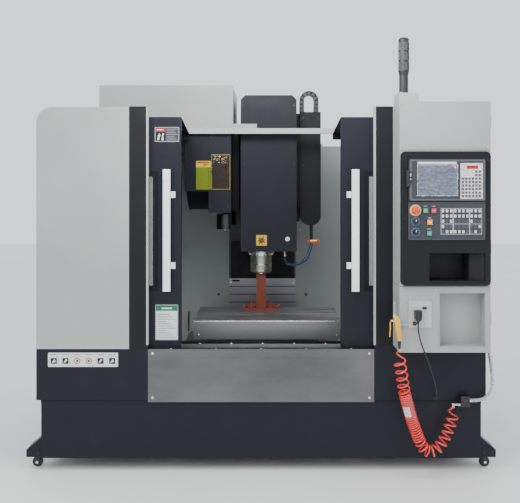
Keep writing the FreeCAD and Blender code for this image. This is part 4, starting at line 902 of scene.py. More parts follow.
def panel_seams():
    """Shadow lines where the covers, skirts and posts meet."""
    corner = Vector((low("left_cover").x, FRONT, low("lower_panels").z))
    art, seam = Art(corner), sizes().seam / MM
    skirt = low("left_cover").z - corner.z
    post = low("door_posts").x - corner.x
    cabinet = low("control_cabinet").x - corner.x
    art.rect("seam", 1, skirt - seam, post - 2, seam)
    art.rect("seam", post - seam / 2, 2, seam, skirt - 4)
    art.rect("seam", cabinet - seam / 2 - 3, 2, seam, skirt - 4)
    art.build("cover_seams", "machine", "dark_paint")


def apron_details():
    """Folded top edge, corner screws and the bolt heads along the top of the stainless apron."""
    start, stop = extent("apron")
    inset = 26

    def lines(bm):
        box_mesh(bm, (start.x, start.y - 1.0, stop.z - 50),
                 (stop.x, start.y + 0.5, stop.z - 47.5))

    def heads(bm):
        for z in (stop.z - 24, start.z + 24):
            screws(bm, [(x, start.y, z) for x in (start.x + inset, stop.x - inset)], sizes().screw / MM)
        for k in range(5):
            x = start.x + (stop.x - start.x) * (k + 0.5) / 5
            rod_mesh(bm, (x, start.y + 16, stop.z), (x, start.y + 16, stop.z + 3), 6)

    piece("apron_fold", "machine", "stainless", lines, edge=0.4)
    piece("apron_screws", "machine", "screw_steel", heads)


def symbol_strip():
    """The white strip of six small pictures on the left skirt, as plain shapes."""
    left, wide, tall = -1171, 385, 78
    art = Art((left, FRONT, low("left_cover").z - 20 - tall))
    art.rounded("ink_white", 0, 0, wide, tall, 4)
    cell = wide / 6
    for k in range(6):
        u, v = cell * (k + 0.5), tall * 0.42
        art.rect("ink_grey", u - cell * 0.3, tall * 0.84, cell * 0.6, 3, 2)
        if k in (2, 3):
            art.disc("ink_red", u, v, 17, 2)
            art.disc("ink_white", u, v, 12.5, 3)
            art.disc("ink_black", u, v, 6, 4)
            continue
        art.rect("ink_black", u - 17, v - 16, 34, 32, 2)
        tilt = (-6, 4, 0, 0, 7, -3)[k]
        art.shape("ink_white", [(u - 11, v - 11), (u - 2, v - 9),
                                (u + 11, v + tilt), (u + 4, v + 12),
                                (u - 4, v + 3)], 3)
    art.build("symbol_strip", "machine", "panel_plastic")


def filler_sheets():
    """Sheets that close the cabin beside the bed and below the magazine hood."""
    guard_low, guard_high = low("rear_guards"), high("rear_guards")
    rail, shelf, roof = 252, 545, 642

    def lower(bm):
        for side in (-1, 1):
            for inner, bottom, top in ((rail, shelf - 45, shelf), (rail - 14, shelf, roof)):
                near, far = sorted((side * inner, side * (high("bed").x + 14)))
                box_mesh(bm, (near, guard_low.y, bottom), (far, guard_high.y, top))

    def skirt(bm):
        box_mesh(bm, (low("magazine_hood").x + 3, guard_low.y + 0.4, guard_high.z),
                 (-482, guard_high.y - 0.4, low("magazine_hood").z))

    # These sheets take the brightened copy of the light paint: painted light.
    piece("lower_guards", "machine", "inner_paint_lit", lower)
    piece("hood_skirt", "machine", "light_paint", skirt)


def cover_fixings():
    """Screws, seams, lifting plugs and louvres on the sides of the covers."""
    seam = sizes().seam / MM
    for side, name in ((-1, "left_cover"), (1, "right_cover")):
        start, stop = extent(name)
        plane = start.x if side < 0 else stop.x
        across = (0, -1, 0) if side < 0 else (0, 1, 0)
        origin = (plane, stop.y if side < 0 else start.y, start.z)
        deep, tall = stop.y - start.y, stop.z - start.z
        art = Art(origin, across)
        split = deep * 0.47
        art.rect("seam", split, 4, seam, tall - 100)
        art.rect("seam", 20, tall * 0.30, deep - 40, seam)
        for u in (0.12, 0.38, 0.60, 0.90):
            for v in (0.05, 0.27, 0.34, 0.88):
                art.screw("screw_steel", deep * u, tall * v, 7, 3, 2)
        art.rounded("black_plastic", deep * 0.52, tall * 0.12, 110, 34, 10, 1, 3)
        art.rounded("seam", deep * 0.52 + 14, tall * 0.12 + 9, 82, 16, 6, 2, 3)
        art.build(f"{name}_fixings", "machine", "light_paint")

    def louvres(bm):
        for side, name in ((-1, "left_cover"), (1, "right_cover")):
            start, stop = extent(name)
            plane, near = (start.x if side < 0 else stop.x), start.y + 950
            for k in range(9):
                z = start.z + 0.62 * (stop.z - start.z) + k * 24
                prism_mesh(bm, [(plane, z), (plane, z + 14), (plane + side * 7, z + 2)], near, near + 260)

    piece("side_louvres", "machine", "light_paint", louvres)


def hood_details():
    """Edge flange, rivets and roof seams of the magazine hood."""
    start, stop = extent("magazine_hood")
    right = -176

    def folds(bm):
        box_mesh(bm, (start.x - 1.5, start.y - 1.5, 1925),
                 (right + 1.5, start.y + 1, 1943))
        box_mesh(bm, (start.x - 1.5, stop.y - 20, 1925),
                 (start.x + 1, stop.y - 1, stop.z - 2))
        for x in (start.x + 280, start.x + 560):
            box_mesh(bm, (x, start.y + 6, stop.z - 0.5), (x + 20, stop.y - 6,
                                                                  stop.z + 1.5))

    def rivets(bm):
        for k in range(7):
            x = start.x + 40 + k * (right - start.x - 80) / 6
            rod_mesh(bm, (x, start.y, 1934), (x, start.y - 3.4, 1934), 4.5, 3, 12)
        for k in range(6):
            y = start.y + 50 + k * (stop.y - start.y - 100) / 5
            rod_mesh(bm, (start.x, y, 1960), (start.x - 2.6, y, 1960), 4.5, 3, 12)

    piece("hood_folds", "machine", "light_paint", folds, edge=0.5)
    piece("hood_rivets", "machine", "screw_steel", rivets)


def door_details(side, name):
    """Window gasket, folds, rollers and screws of one sliding door."""
    door, body = f"{name}_door", f"{name}_door"
    start, stop = extent(door)
    face = start.y
    window_low, window_high = 997, 1648
    inner = side * (445 + 133)
    outer = side * (445 + 133 + 400)
    left, right = min(inner, outer), max(inner, outer)
    band = 22

    def gasket(bm):
        frame_mesh(bm, (left - 6, window_low - 6), (right + 6, window_high + 6),
                   band + 6, face - 3, face - 0.1)
        frame_mesh(bm, (left + 1, window_low + 1), (right - 1, window_high - 1),
                   band - 1, face - 0.2, face + 2.9)

    def rollers(bm):
        for share in (0.2, 0.8):
            x = start.x + (stop.x - start.x) * share
            rod_mesh(bm, (x, face + 13, start.z + 30), (x, face + 27, start.z + 30), 14)
            box_mesh(bm, (x - 18, face + 28, start.z + 14),
                     (x + 18, face + 32, start.z + 62))

    def folds(bm):
        near = side * 445
        x0, x1 = sorted((near, near + side * 14))
        box_mesh(bm, (x0, face + 34, start.z + 60), (x1, face + 39, 1880))
        for x in (near + side * 12, near + side * 640):
            box_mesh(bm, (x - 1.5, face + 45, 1938), (x + 1.5, face + 60, 1952))

    piece(f"{name}_gasket", body, "gasket", gasket, edge=0.8)
    piece(f"{name}_rollers", body, "screw_steel", rollers)
    piece(f"{name}_folds", body, "dark_paint", folds, edge=0.6)

    art = Art((start.x, face, start.z))
    for z in (30, 1270):
        for x in (28, stop.x - start.x - 28):
            art.screw("dark_screw", x, z, 6, 2.6, 2)
    art.build(f"{name}_door_screws", body, "stainless")


def door_labels():
    """Two labels on the left door: a small dark plate and a white card, both without words."""
    face, body = low("left_door").y, "left_door"
    plate = Art((-591, face, 1817))
    wide, tall = 137, 84
    plate.rounded("panel_plastic", 0, 0, wide, tall, 3)
    plate.rim("ink_white", 2, 2, wide - 4, tall - 4, 1.6, 2)
    plate.rect("ink_red", 5, tall - 26, 54, 20, 3)
    plate.rect("ink_white", 12, tall - 18, 38, 4, 4)
    plate.rect("ink_black", 5, 6, 54, 50, 3)
    plate.shape("ink_white", [(14, 10), (24, 10), (27, 26), (33, 38),
                              (27, 48), (20, 40)], 4)
    plate.shape("ink_white", [(38, 10), (50, 10), (46, 34), (53, 44),
                              (44, 50), (40, 34)], 4)
    for k in range(7):
        plate.rect("ink_pale", 66, (10 + 10 * k), (62 - 9 * (k % 3)), 3.4, 3)
    plate.build("door_plate", body, "panel_plastic")

    card = Art((-587, face, 717))
    wide, tall = 126, 196
    card.rounded("ink_white", 0, 0, wide, tall, 3)
    card.rim("ink_green", 1.5, 1.5, wide - 3, tall - 3, 2, 2)
    card.rect("ink_green", 3, tall - 34, wide - 6, 30, 2)
    card.rect("ink_white", 34, tall - 24, 58, 8, 3)
    for k in range(11):
        card.rect("ink_grey", 12, (14 + 12.6 * k), (100 - 17 * ((k * 5) % 4)), 3, 2)
    card.build("door_card", body, "panel_plastic")


# ---------------------------------------------------------------- head, spindle and magazine
def head_details():
    """The star label, hanging bolts and seams of the head cover, and the flange under it."""
    start = low("head_cover")
    left, right, base = -129, 226, 1151
    art = Art((left, start.y, base))
    centre_u, centre_v, half = 132, 71, 34
    art.rounded("ink_yellow", centre_u - half, centre_v - half, 2 * half, 2 * half, 5)
    art.rim("ink_black", centre_u - half + 3, centre_v - half + 3, 2 * half - 6,
            2 * half - 6, 1.4, 2)
    for k in range(8):
        turn = math.radians(45 * k + 12)
        tip, ahead = (29 if k % 2 else 24), Vector((math.cos(turn), math.sin(turn)))
        beside = Vector((-ahead.y, ahead.x))
        arm = ((4, -3.0), (18, -4.6), (tip, -1.8), (tip, 1.8), (18, 4.6), (4, 3.0))
        art.shape("ink_black", [(centre_u + (ahead.x * u + beside.x * v),
                                 centre_v + (ahead.y * u + beside.y * v)) for u, v in arm],
                  2 + k * 0.01)
    art.disc("ink_red", centre_u, centre_v, 7.5, 3)
    for u, v in ((16, 16), (339, 16), (16, 560), (339, 560), (16, 930), (339, 930)):
        art.screw("dark_screw", u, v, 5.5, 2.4, 1.8)
    art.rect("seam", 3, 600, right - left - 6, 2, 1)
    art.build("head_art", "head", "panel_plastic")

    def folds(bm):
        for x, way in ((left, -1), (right, 1)):
            inner, outer = sorted((x - way * 1, x + way * 1.5))
            box_mesh(bm, (inner, start.y + 20, base + 4), (outer, start.y + 34, base + 920))

    piece("head_folds", "head", "dark_paint", folds, edge=0.5)

    def collar(bm):
        middle = Vector((0, low("spindle_nose").y + 86, 0))
        for radius, z0, z1 in ((87.5, 1127, 1133), (71, 1112, 1125), (70.4, 1052, 1058), (70.4, 1012, 1016)):
            ring_mesh(bm, (middle.x, middle.y, z0), (0, 0, 1), (radius - 8), radius,
                      (z1 - z0), 48)
        for k in range(8):
            turn = 2 * math.pi * (k + 0.5) / 8
            x, y = middle.x + 79 * math.cos(turn), middle.y + 79 * math.sin(turn)
            rod_mesh(bm, (x, y, 1126), (x, y, 1116), 6.5, 6.5, 12)

    piece("spindle_collar", "head", "bright_steel", collar, edge=0.5)

    def keys(bm):
        middle = low("spindle_nose").y + 86
        for way in (-1, 1):
            box_mesh(bm, (-8, middle + way * 26 - 6, 991),
                     (8, middle + way * 26 + 6, 996))

    piece("drive_keys", "spindle", "bright_steel", keys, edge=0.6)


def clamp_cap():
    """The raised rim and domed face of the tool clamp button."""
    centre = (low("clamp_button") + high("clamp_button")) / 2
    face = low("clamp_button").y

    def dome(bm):
        rings = ((14.0, 0.0), (14.0, 0.6), (11.5, 1.0), (10.5, 0.6), (0.001, 1.2))
        for (first, near), (second, far) in zip(rings, rings[1:]):
            rod_mesh(bm, (centre.x, face - near + 0.4, centre.z),
                     (centre.x, face - far - 0.2, centre.z), first, second, 28)

    piece("clamp_dome", "clamp_button", "white_plastic", dome)


def duct_details():
    """Chain links that arch over the duct, and the duct's lid seams and screws."""
    start = low("cable_duct")
    centre_x, radius, thick = 315, 47, 26
    deck, rise = 2051, 78
    front, wide = start.y + 8, 64

    def links(bm):
        pitch = sizes().link / MM
        straight = int(rise / pitch)
        spots = [(centre_x - radius, deck + (k + 0.5) * pitch, 0.0) for k in range(straight)]
        count = int(math.pi * radius / pitch)
        for k in range(count):
            turn = math.pi * (k + 0.5) / count
            spots.append((centre_x - radius * math.cos(turn), deck + rise + radius * math.sin(turn),
                          turn))
        spots += [(centre_x + radius, deck + (k + 0.5) * pitch, math.pi) for k in range(straight)]
        for x, z, turn in spots:
            lean = Matrix.Rotation(turn, 4, "Y")
            half = Vector(((thick / 2 + 2), wide / 2, pitch * 0.42))
            middle = Vector((x, front + wide / 2, z))
            box_mesh(bm, middle - half, middle + half, lean)
            for edge in (-1, 1):
                at = middle + Vector((0, edge * (wide / 2 - 2), 0))
                rod_mesh(bm, at, at + Vector((0, edge * 4, 0)), 7, 7, 12)

    piece("chain_links", "head", "black_plastic", links, edge=1.0)

    art = Art((255, start.y, 1311))
    art.rim("seam", 10, 66, 116, 660, 2)
    for v in (90, 390, 700):
        for u in (20, 116):
            art.disc("dark_screw", u, v, 5, 1, 1.6, 12)
    art.build("duct_art", "head", "dark_paint")


def nozzle_hose():
    """The segmented coolant hose with its taps, which stands for the plain CAD one."""
    depth = (low("coolant_nozzle").y + 20)
    top, lowest, left, right, rise = 1151, 1066, 156, 330, 1190
    points = [Vector((left, depth, top - 40)), Vector((left, depth, lowest + 12)),
              Vector((left + 14, depth, lowest - 8)),
              Vector(((left + right) / 2 - 20, depth, lowest - 18)),
              Vector(((left + right) / 2 + 50, depth, lowest + 14)),
              Vector((right - 16, depth, lowest + 62)), Vector((right, depth, rise - 8))]
    line = walked([point * MM for point in points], 0.001)

    def segments(bm):
        total = length_of(line)
        beads = int(total / (13 * MM))

        def wide(share):
            phase = (share * beads) % 1.0
            return (7.4 + 3.2 * math.sin(math.pi * phase) ** 0.6) * MM
        swept(bm, line, wide, 16)

    def fittings(bm):
        rod_mesh(bm, (left, depth, top), (left, depth, top - 14), 14, 14, 6)
        rod_mesh(bm, (left, depth, top - 14), (left, depth, top - 44), 8, 10.5, 20)
        rod_mesh(bm, (right + 56, depth, rise + 17), (right - 24, depth, rise + 17),
                 11, 11, 24)
        rod_mesh(bm, (right, depth, rise + 17), (right, depth + 26, rise + 17), 9)
        rod_mesh(bm, (right, depth, rise - 12), (right, depth, rise + 10), 12.5, 12.5, 6)

    def bracket(bm):
        box_mesh(bm, (right - 10, depth + 20, rise), (right + 10, depth + 32, 1303))
        box_mesh(bm, (right - 10, depth + 20, 1300), (right + 10, depth + 88, 1310))
        box_mesh(bm, (226.5, depth + 62, 1330), (254.5, depth + 66, 2046))

    def tap(x, tilt):
        def lever(bm):
            rod_mesh(bm, (x, depth - 10, rise + 17), (x, depth - 17, rise + 17), 8)
            box_mesh(bm, (x - 22, depth - 20, rise + 13), (x + 22, depth - 15,
                                                                         rise + 21),
                     Matrix.Rotation(math.radians(tilt), 4, "Y"))
        return lever

    piece("coolant_segments", "head", "hose_blue", segments, node="coolant_nozzle")
    piece("coolant_fittings", "head", "brass", fittings, edge=0.5)
    piece("duct_bracket", "head", "dark_paint", bracket, edge=0.6)
    piece("left_tap", "head", "valve_red", tap(right - 14, 35), edge=0.8)
    piece("right_tap", "head", "valve_red", tap(right + 40, -40), edge=0.8)


def magazine_labels():
    """The two label plates on the magazine's casing, wordless, and the casing's seams."""
    face = low("magazine_shell").y
    # The lime and brown inks on these plates carry painted shade for the shadow under the hood.
    green = Art((-408, face, 1546))
    wide, tall = 92, 180
    green.rect("ink_lime_shaded", 0, 0, wide, tall)
    green.rect("ink_yellow", 0, tall - 40, wide, 40, 2)
    green.rect("ink_red", 6, tall - 15, 80, 9, 3)
    for k in range(3):
        green.rect("ink_brown_shaded", 44, tall - (22 + 6 * k), (36 - 8 * k), 3, 3)
    green.build("magazine_green_plate", "machine", "panel_plastic")
    brown = Art((-312, face, 1546))
    wide, tall = 118, 222
    brown.rect("ink_brown_shaded", 0, 0, wide, tall)
    brown.rim("ink_yellow", 1, 1, wide - 2, tall - 2, 1.6, 2)
    speckle = random.Random(7)
    for k in range(46):
        u, v = speckle.uniform(8, 104), tall - speckle.uniform(8, 58)
        brown.rect("ink_white" if k % 3 else "ink_yellow", u, v, speckle.uniform(3, 10), 1.8, 2)
    brown.disc("ink_white", 52, tall - 14, 5, 3, 0, 16)
    brown.build("magazine_brown_plate", "machine", "panel_plastic")

    casing = Art((-480, face, 1400))
    casing.rect("seam", 150, 4, 2.5, 500)
    for v in (40, 260, 480):
        for u in (168, 276):
            casing.disc("dark_screw", u, v, 5.5, 1, 2, 14)
    casing.build("magazine_art", "machine", "dark_paint")


def pot_details():
    """Sleeves of the twenty tool pots on the disc."""
    centre = (low("tool_disc") + high("tool_disc")) / 2
    circle, count = 320, 20

    def pots(bm):
        for k in range(count):
            turn = 2 * math.pi * k / count
            y = centre.y + circle * math.sin(turn)
            z = centre.z - circle * math.cos(turn)
            for x in (low("tool_disc").x - 0.5, high("tool_disc").x - 5.5):
                ring_mesh(bm, (x, y, z), (1, 0, 0), 23, 33, 6, 20)

    piece("pot_sleeves", "tool_disc", "black_plastic", pots, edge=0.5)


def way_details():
    """Wiper lips, a slotted tag and screws on the telescopic sheets."""
    start, stop = extent("fixed_way_cover")
    step = (stop.z - start.z) / 4

    def wipers(bm):
        for k in range(1, 4):
            z = start.z + step * k
            y = start.y + 3 * k
            box_mesh(bm, (start.x + 2, y - 3.4, z - 3), (stop.x - 2, y - 0.1, z + 1))

    piece("way_wipers", "machine", "gasket", wipers)
    art = Art((start.x, start.y + 9, start.z + 3 * step))
    art.rounded("ink_black", 22, step - 22, 56, 12, 3)
    for u in (14, stop.x - start.x - 14):
        art.disc("screw_steel", u, step * 0.5, 5, 1, 1.8, 12)
    art.build("way_tag", "machine", "stainless")

    def guard_pins(bm):
        face = low("rear_guards").y
        for side, inner in ((-1, 233), (1, 252)):
            ring_mesh(bm, (side * (inner + 75.3), face - 2, 770), (0, 1, 0), 9, 13, 2.2, 20)
            for z in (700, 1240, 1780):
                for x in (side * (inner + 30), side * 1190):
                    rod_mesh(bm, (x, face, z), (x, face - 3, z), 5.5, 4, 14)

    piece("guard_screws", "machine", "screw_steel", guard_pins)


def table_details():
    """The front chamfer and bolts of the table and its transport brace; the chamfer is real, and its
    brighter steel is a painted highlight along the edge.
    """
    start, stop = extent("table")

    def bolts(bm):
        screws(bm, [(x, start.y, start.z + 26) for x in (start.x + 30, stop.x - 30)], 6)

    piece("table_bolts", "table", "screw_steel", bolts)

    # The chamfer is real geometry; its bright steel, lighter than the table's, is a painted highlight along
    # the front edge.
    def rail(bm):
        prism_mesh(bm, [(start.y - 1.2, stop.z - 7), (start.y - 1.2, stop.z - 1.5),
                        (start.y + 1.0, stop.z + 0.8), (start.y + 11, stop.z + 0.8),
                        (start.y + 11, stop.z - 0.5), (start.y + 0.5, stop.z - 7)],
                   start.x + 1, stop.x - 1, "x")

    piece("table_edge", "table", "bright_steel", rail, edge=0.3)

    middle = (low("shipping_brace") + high("shipping_brace")) / 2
    deck = stop.z

    def clamps(bm):
        for side in (-1, 1):
            x = side * 65
            for k in range(12):
                z = deck + 36 + k * 2.2
                ring_mesh(bm, (x, middle.y, z), (0, 0, 1), 7.5, 9.8, 1.1, 18)
            rod_mesh(bm, (x, middle.y, deck + 16), (x, middle.y, deck + 19), 23)
            rod_mesh(bm, (x, middle.y, deck + 19), (x, middle.y, deck + 35), 20.5,
                     20.5, 6)
            rod_mesh(bm, (x + side * 32, middle.y, deck + 18),
                     (x + side * 60, middle.y, deck + 30), 5, 5, 10)

    piece("brace_nuts", "table", "stud_red", clamps, edge=0.6)

    def welds(bm):
        half, rng = 30.5, random.Random(3)
        z = deck + 16
        for k in range(17):
            share = (k / 16 - 0.5) * 2 * half
            for x, y in ((share, middle.y - half), (share, middle.y + half), (-half, middle.y + share),
                         (half, middle.y + share)):
                size = (3.4 + rng.uniform(-0.5, 0.5))
                ball_mesh(bm, (x, y, z), size, 8, 5)

    piece("brace_welds", "table", "brace_paint", welds)

    def saddle_screws(bm):
        near, far = low("saddle"), high("saddle")
        screws(bm, [(near.x + 40 + k * (far.x - near.x - 80) / 6, near.y, 618) for k in range(7)], 6.5)

    piece("saddle_screws", "saddle", "screw_steel", saddle_screws)


# ---------------------------------------------------------------- console and cabinet
def display_details():
    """Bezel, film-covered screen, soft keys and the latch of the display unit."""
    start, stop = extent("display_unit")
    wide, tall = stop.x - start.x, stop.z - start.z
    art = Art(start)
    art.rounded("grey_plastic", 4, 4, wide - 8, tall - 8, 7, 1, 0.4)
    art.rounded("panel_plastic", 14, 12, wide - 28, tall - 24, 5, 3, 0.4)
    art.rect("ink_white", 44, tall - 28, 204, 13, 5, 0.4)
    art.rect("black_plastic", 40, 24, 216, 168, 4, 0.4)
    art.rect("film", 46, 30, 204, 156, 6, 0.5)
    for v in (60, 84, 108, 132):
        art.rect("seam", 54, v, 30, 0.8, 7, 0.5)
    art.disc("ink_red", 240, 176, 9, 8, 0.6)
    art.disc("ink_white", 240, 176, 5.5, 9, 0.6)
    art.rect("white_film", 268, 12, 116, 186, 5, 0.4)
    art.rect("ink_red", 300, 168, 60, 18, 7, 0.4)
    for row_index in range(8):
        for column in range(6):
            if row_index > 5 and column < 4:
                continue
            art.rounded("grey_plastic",
                        (274 + 17.6 * column), (20 + 18.2 * row_index), 13, 13,
                        2, 6, 0.9)
    art.build("display_face", "machine", "panel_plastic")

    def film_edges(bm):
        rng = random.Random(11)
        x0, z0 = start.x + 46, start.z + 30
        film_wide, film_tall = 204, 156
        face = start.y - 2.2
        for k in range(26):
            share = k / 25
            for x, z, dx, dz in ((x0 + film_wide * share, z0, 0, -1),
                                 (x0 + film_wide * share, z0 + film_tall, 0, 1),
                                 (x0 + film_wide, z0 + film_tall * share, 1, 0),
                                 (x0, z0 + film_tall * share, -1, 0)):
                reach, across = rng.uniform(2, 7), rng.uniform(5, 12)
                beside = (across if dz else 0, across if dx else 0)
                corners = ((x - beside[0], face, z - beside[1]), (x + beside[0], face, z + beside[1]),
                           (x + dx * reach, face - rng.uniform(0.5, 2.5), z + dz * reach))
                bm.faces.new([bm.verts.new(Vector(corner) * MM) for corner in corners])

    piece("film_edges", "machine", "clear_film", film_edges)

    def latch(bm):
        x, z = start.x - 14, start.z + 75
        box_mesh(bm, (x, start.y - 4, z), (x + 20, start.y + 12, z + 86))
        box_mesh(bm, (x + 15, start.y - 8, z + 20), (x + 26, start.y - 0.5, z + 76))

    def latch_pins(bm):
        x, z = start.x + 7, start.z + 128
        box_mesh(bm, (x - 3, start.y - 9.4, z), (x + 3, start.y - 7.8, z + 16))
        rod_mesh(bm, (x, start.y - 10, z - 14), (x, start.y - 7.8, z - 14), 3.5)

    piece("screen_latch", "machine", "black_plastic", latch, edge=1.2)
    piece("screen_latch_pins", "machine", "screw_steel", latch_pins)


KEY_GROUPS = ((0, 3), (3, 7), (7, 10))


def key_field(art, left, bottom, wide, tall):
    """Ten by five keys in three ruled groups; the upper rows are white, the lower ones grey."""
    columns, rows = 10, 5
    cell_u, cell_v = wide / columns, tall / rows
    for first, last in KEY_GROUPS:
        art.rim("ink_white", left + first * cell_u, bottom, (last - first) * cell_u, tall, 1.6, 2)
    art.rect("ink_white", left, bottom + 2 * cell_v - 0.8, wide, 1.6, 2)
    rng = random.Random(5)
    for row_index in range(rows):
        for column in range(columns):
            u, v = left + (column + 0.22) * cell_u, bottom + (row_index + 0.24) * cell_v
            white = row_index > 2 or rng.random() > 0.72
            art.rounded("grey_plastic", u - 1, v - 1, cell_u * 0.56 + 2,
                        cell_v * 0.56 + 2, 2, 3)
            art.rounded("ink_white" if white else "ink_grey", u, v, cell_u * 0.56, cell_v * 0.56,
                        1.6, 4, 0.5)
            art.rect("ink_black", u + 2.6, v + cell_v * 0.24, cell_u * 0.56 - 5.2, 1.4, 5,
                     0.5)


def panel_details():
    """Key field, legend frames and the yellow collar plate of the operator panel."""
    start, stop = extent("operator_panel")
    face = FRONT - 206
    wide, tall = stop.x - start.x, stop.z - start.z
    art = Art((start.x, face, start.z))
    art.rim("grey_plastic", 3, 3, wide - 6, tall - 6, 1.4)
    key_field(art, 170, 30, 214, 136)
    art.disc("stop_yellow", 37, 155, 30, 2)
    for v in (97, 42):
        art.disc("ink_blue", 38, v, 24, 2)
        art.disc("grey_plastic", 38, v, 19, 3)
        for k in range(9):
            turn = math.radians(-135 + 270 * k / 8 + 90)
            art.disc("ink_white", 38 + 21.6 * math.cos(turn), v + 21.6 * math.sin(turn),
                     1.1, 4, 0, 8)
    for u, v in ((89, 155), (132, 155), (111, 94), (109, 36)):
        art.rounded("black_plastic", (u - 17), (v - 17), 34, 34, 3, 2, 0.6)
        art.rect("ink_white", (u - 9), (v + 21), 18, 2, 2)
    for u in (8, wide - 8):
        for v in (8, tall - 8):
            art.disc("dark_screw", u, v, 3.2, 1, 1, 12)
    art.build("panel_face", "machine", "panel_plastic")

    def collar(bm):
        ring_mesh(bm, (807, face - 6.6, 1447), (0, 1, 0), 21, 27.6, 6, 40)

    piece("stop_collar", "machine", "stop_yellow", collar, edge=0.8)


def knob_details(name):
    """Grip ribs and a white pointer on a selector knob."""
    start, stop = extent(name)
    middle = (start + stop) / 2

    def ribs(bm):
        for k in range(16):
            turn = 2 * math.pi * k / 16
            x, z = middle.x + 13.6 * math.cos(turn), middle.z + 13.6 * math.sin(turn)
            rod_mesh(bm, (x, start.y + 2, z), (x, start.y + 17, z), 1.3, 1.6, 8)

    def pointer(bm):
        box_mesh(bm, (middle.x - 1.6, start.y - 0.8, middle.z + 1),
                 (middle.x + 1.6, start.y + 0.4, middle.z + 11))

    piece(f"{name}_ribs", name, "black_plastic", ribs)
    piece(f"{name}_pointer", name, "ink_white", pointer, edge=0.3)


def button_details(name, sign):
    """A raised frame and an inlaid symbol on a square push button."""
    start, stop = extent(name)
    wide = stop.x - start.x
    art = Art(start)
    art.rim(sign, 1.2, 1.2, wide - 2.4, wide - 2.4, 1.4, 2)
    art.rect("ink_white", wide * 0.28, wide * 0.44, wide * 0.44, 3, 2)
    art.build(f"{name}_face", name, "start_green")


BUTTON_SIGNS = {"start_button": "ink_green", "cycle_button": "ink_green", "stop_button": "ink_red",
                "orange_button": "stop_yellow"}


def mushroom_details():
    """The dished top and turn arrows of the emergency stop."""
    start = low("emergency_stop")
    centre = Vector((807, start.y, 1447))

    def dish(bm):
        ring_mesh(bm, centre - Vector((0, 1.2, 0)), (0, 1, 0), 9.5, 13.6, 1.6, 36)
        rod_mesh(bm, centre + Vector((0, 0.5, 0)), centre - Vector((0, 0.7, 0)), 8, 5, 30)

    piece("mushroom_dish", "emergency_stop", "stop_red", dish, edge=0.4)
    art = Art((centre.x, start.y, centre.z))
    for k in range(3):
        turn = 2 * math.pi * k / 3
        points = [(0.4, 11.8), (0.9, 11.8), (0.9, 11.0), (1.15, 12.6), (0.9, 13.4), (0.9, 12.9), (0.4, 12.9)]
        art.shape("ink_white", [(far * math.cos(turn + at), far * math.sin(turn + at))
                                for at, far in points], 6)
    art.build("mushroom_arrows", "emergency_stop", "stop_red")


def console_details():
    """The dark liner, slanted side and lip of the tray, and the console's edge screws."""
    x0, x1, z0, z1 = 881, 1174, 1076, 1224
    front, back, wall = FRONT - 198, FRONT - 60, 1.5

    def liner(bm):
        box_mesh(bm, (x0, back - wall, z0), (x1, back - 0.2, z1))
        box_mesh(bm, (x0, front, z0), (x1, back, z0 + wall))
        box_mesh(bm, (x0, front, z1 - wall), (x1, back, z1))
        box_mesh(bm, (x0, front, z0), (x0 + wall, back, z1))
        box_mesh(bm, (x1 - wall, front, z0), (x1, back, z1))

    def slope(bm):
        prism_mesh(bm, [(x1 - 84, back - wall), (x1 - 76, front + 30),
                        (x1 - wall, front + 6), (x1 - wall, back - wall)], z0 + wall, z1 - wall, "z")

    piece("tray_slope", "machine", "seam", slope, edge=0.8)
    piece("tray_liner", "machine", "post_paint", liner)

    def lip(bm):
        for (xa, xb), (za, zb) in (((x0 - 5, x1 + 5), (z1, z1 + 5)),
                                   ((x0 - 5, x1 + 5), (z0 - 5, z0)),
                                   ((x0 - 5, x0), (z0, z1)), ((x1, x1 + 5), (z0, z1))):
            box_mesh(bm, (xa, FRONT - 201.5, za), (xb, FRONT - 199, zb))

    piece("tray_lip", "machine", "post_paint", lip, edge=0.8)

    start, inset = low("console"), 16
    art = Art(start)
    for v in (40, 350, 660):
        for at in (inset, high("console").x - start.x - inset):
            art.screw("dark_screw", at, v, 4.5, 2, 1.4)
    art.build("console_art", "machine", "post_paint")


def cabinet_details():
    """Outline of the socket plate, hinges, louvres, screws and seams of the control cabinet, and the bolts
    at the lamp's foot.
    """
    face = FRONT - 180
    art = Art((728, face, 698))
    art.rect("seam", 4, 346, 472, 2)
    art.rect("seam", 4, 1064, 472, 2)
    art.rim("light_paint", 205, 26, 252, 293, 6, 8)
    for u, v in ((14, 1302), (466, 1302), (14, 1084), (466, 1084),
                 (14, 16), (466, 16), (14, 330), (190, 330)):
        art.screw("screw_steel", u, v, 5, 2.2, 1.6)
    art.build("cabinet_art", "machine", "light_paint")

    side = Art((1208, face, 698), (0, 1, 0))
    side.rect("seam", 4, 346, 172, 2)
    for v in (140, 520, 1180):
        side.rounded("light_paint", 10, v, 26, 70, 4, 1, 6)
        side.disc("screw_steel", 23, (v + 14), 4, 1, 7.4, 12)
        side.disc("screw_steel", 23, (v + 56), 4, 1, 7.4, 12)
    for k in range(10):
        side.rounded("seam", 60, (820 + 18 * k), 90, 6, 3)
    side.build("cabinet_side", "machine", "light_paint")

    left = Art((728, FRONT - 2, 698), (0, -1, 0))
    left.rect("seam", 4, 346, 170, 2)
    for v in (420, 760, 1180):
        left.screw("screw_steel", 24, v, 6, 2.4, 2)
    left.build("cabinet_left", "machine", "light_paint")

    def mast_foot(bm):
        for x in (742, 819):
            for y in (FRONT - 158, FRONT - 32):
                rod_mesh(bm, (x, y, 2066), (x, y, 2071), 5, 5, 6)
        ring_mesh(bm, (766, FRONT - 95, 2066.5), (0, 0, 1), 22, 34, 5, 40)

    piece("mast_bolts", "machine", "screw_steel", mast_foot)


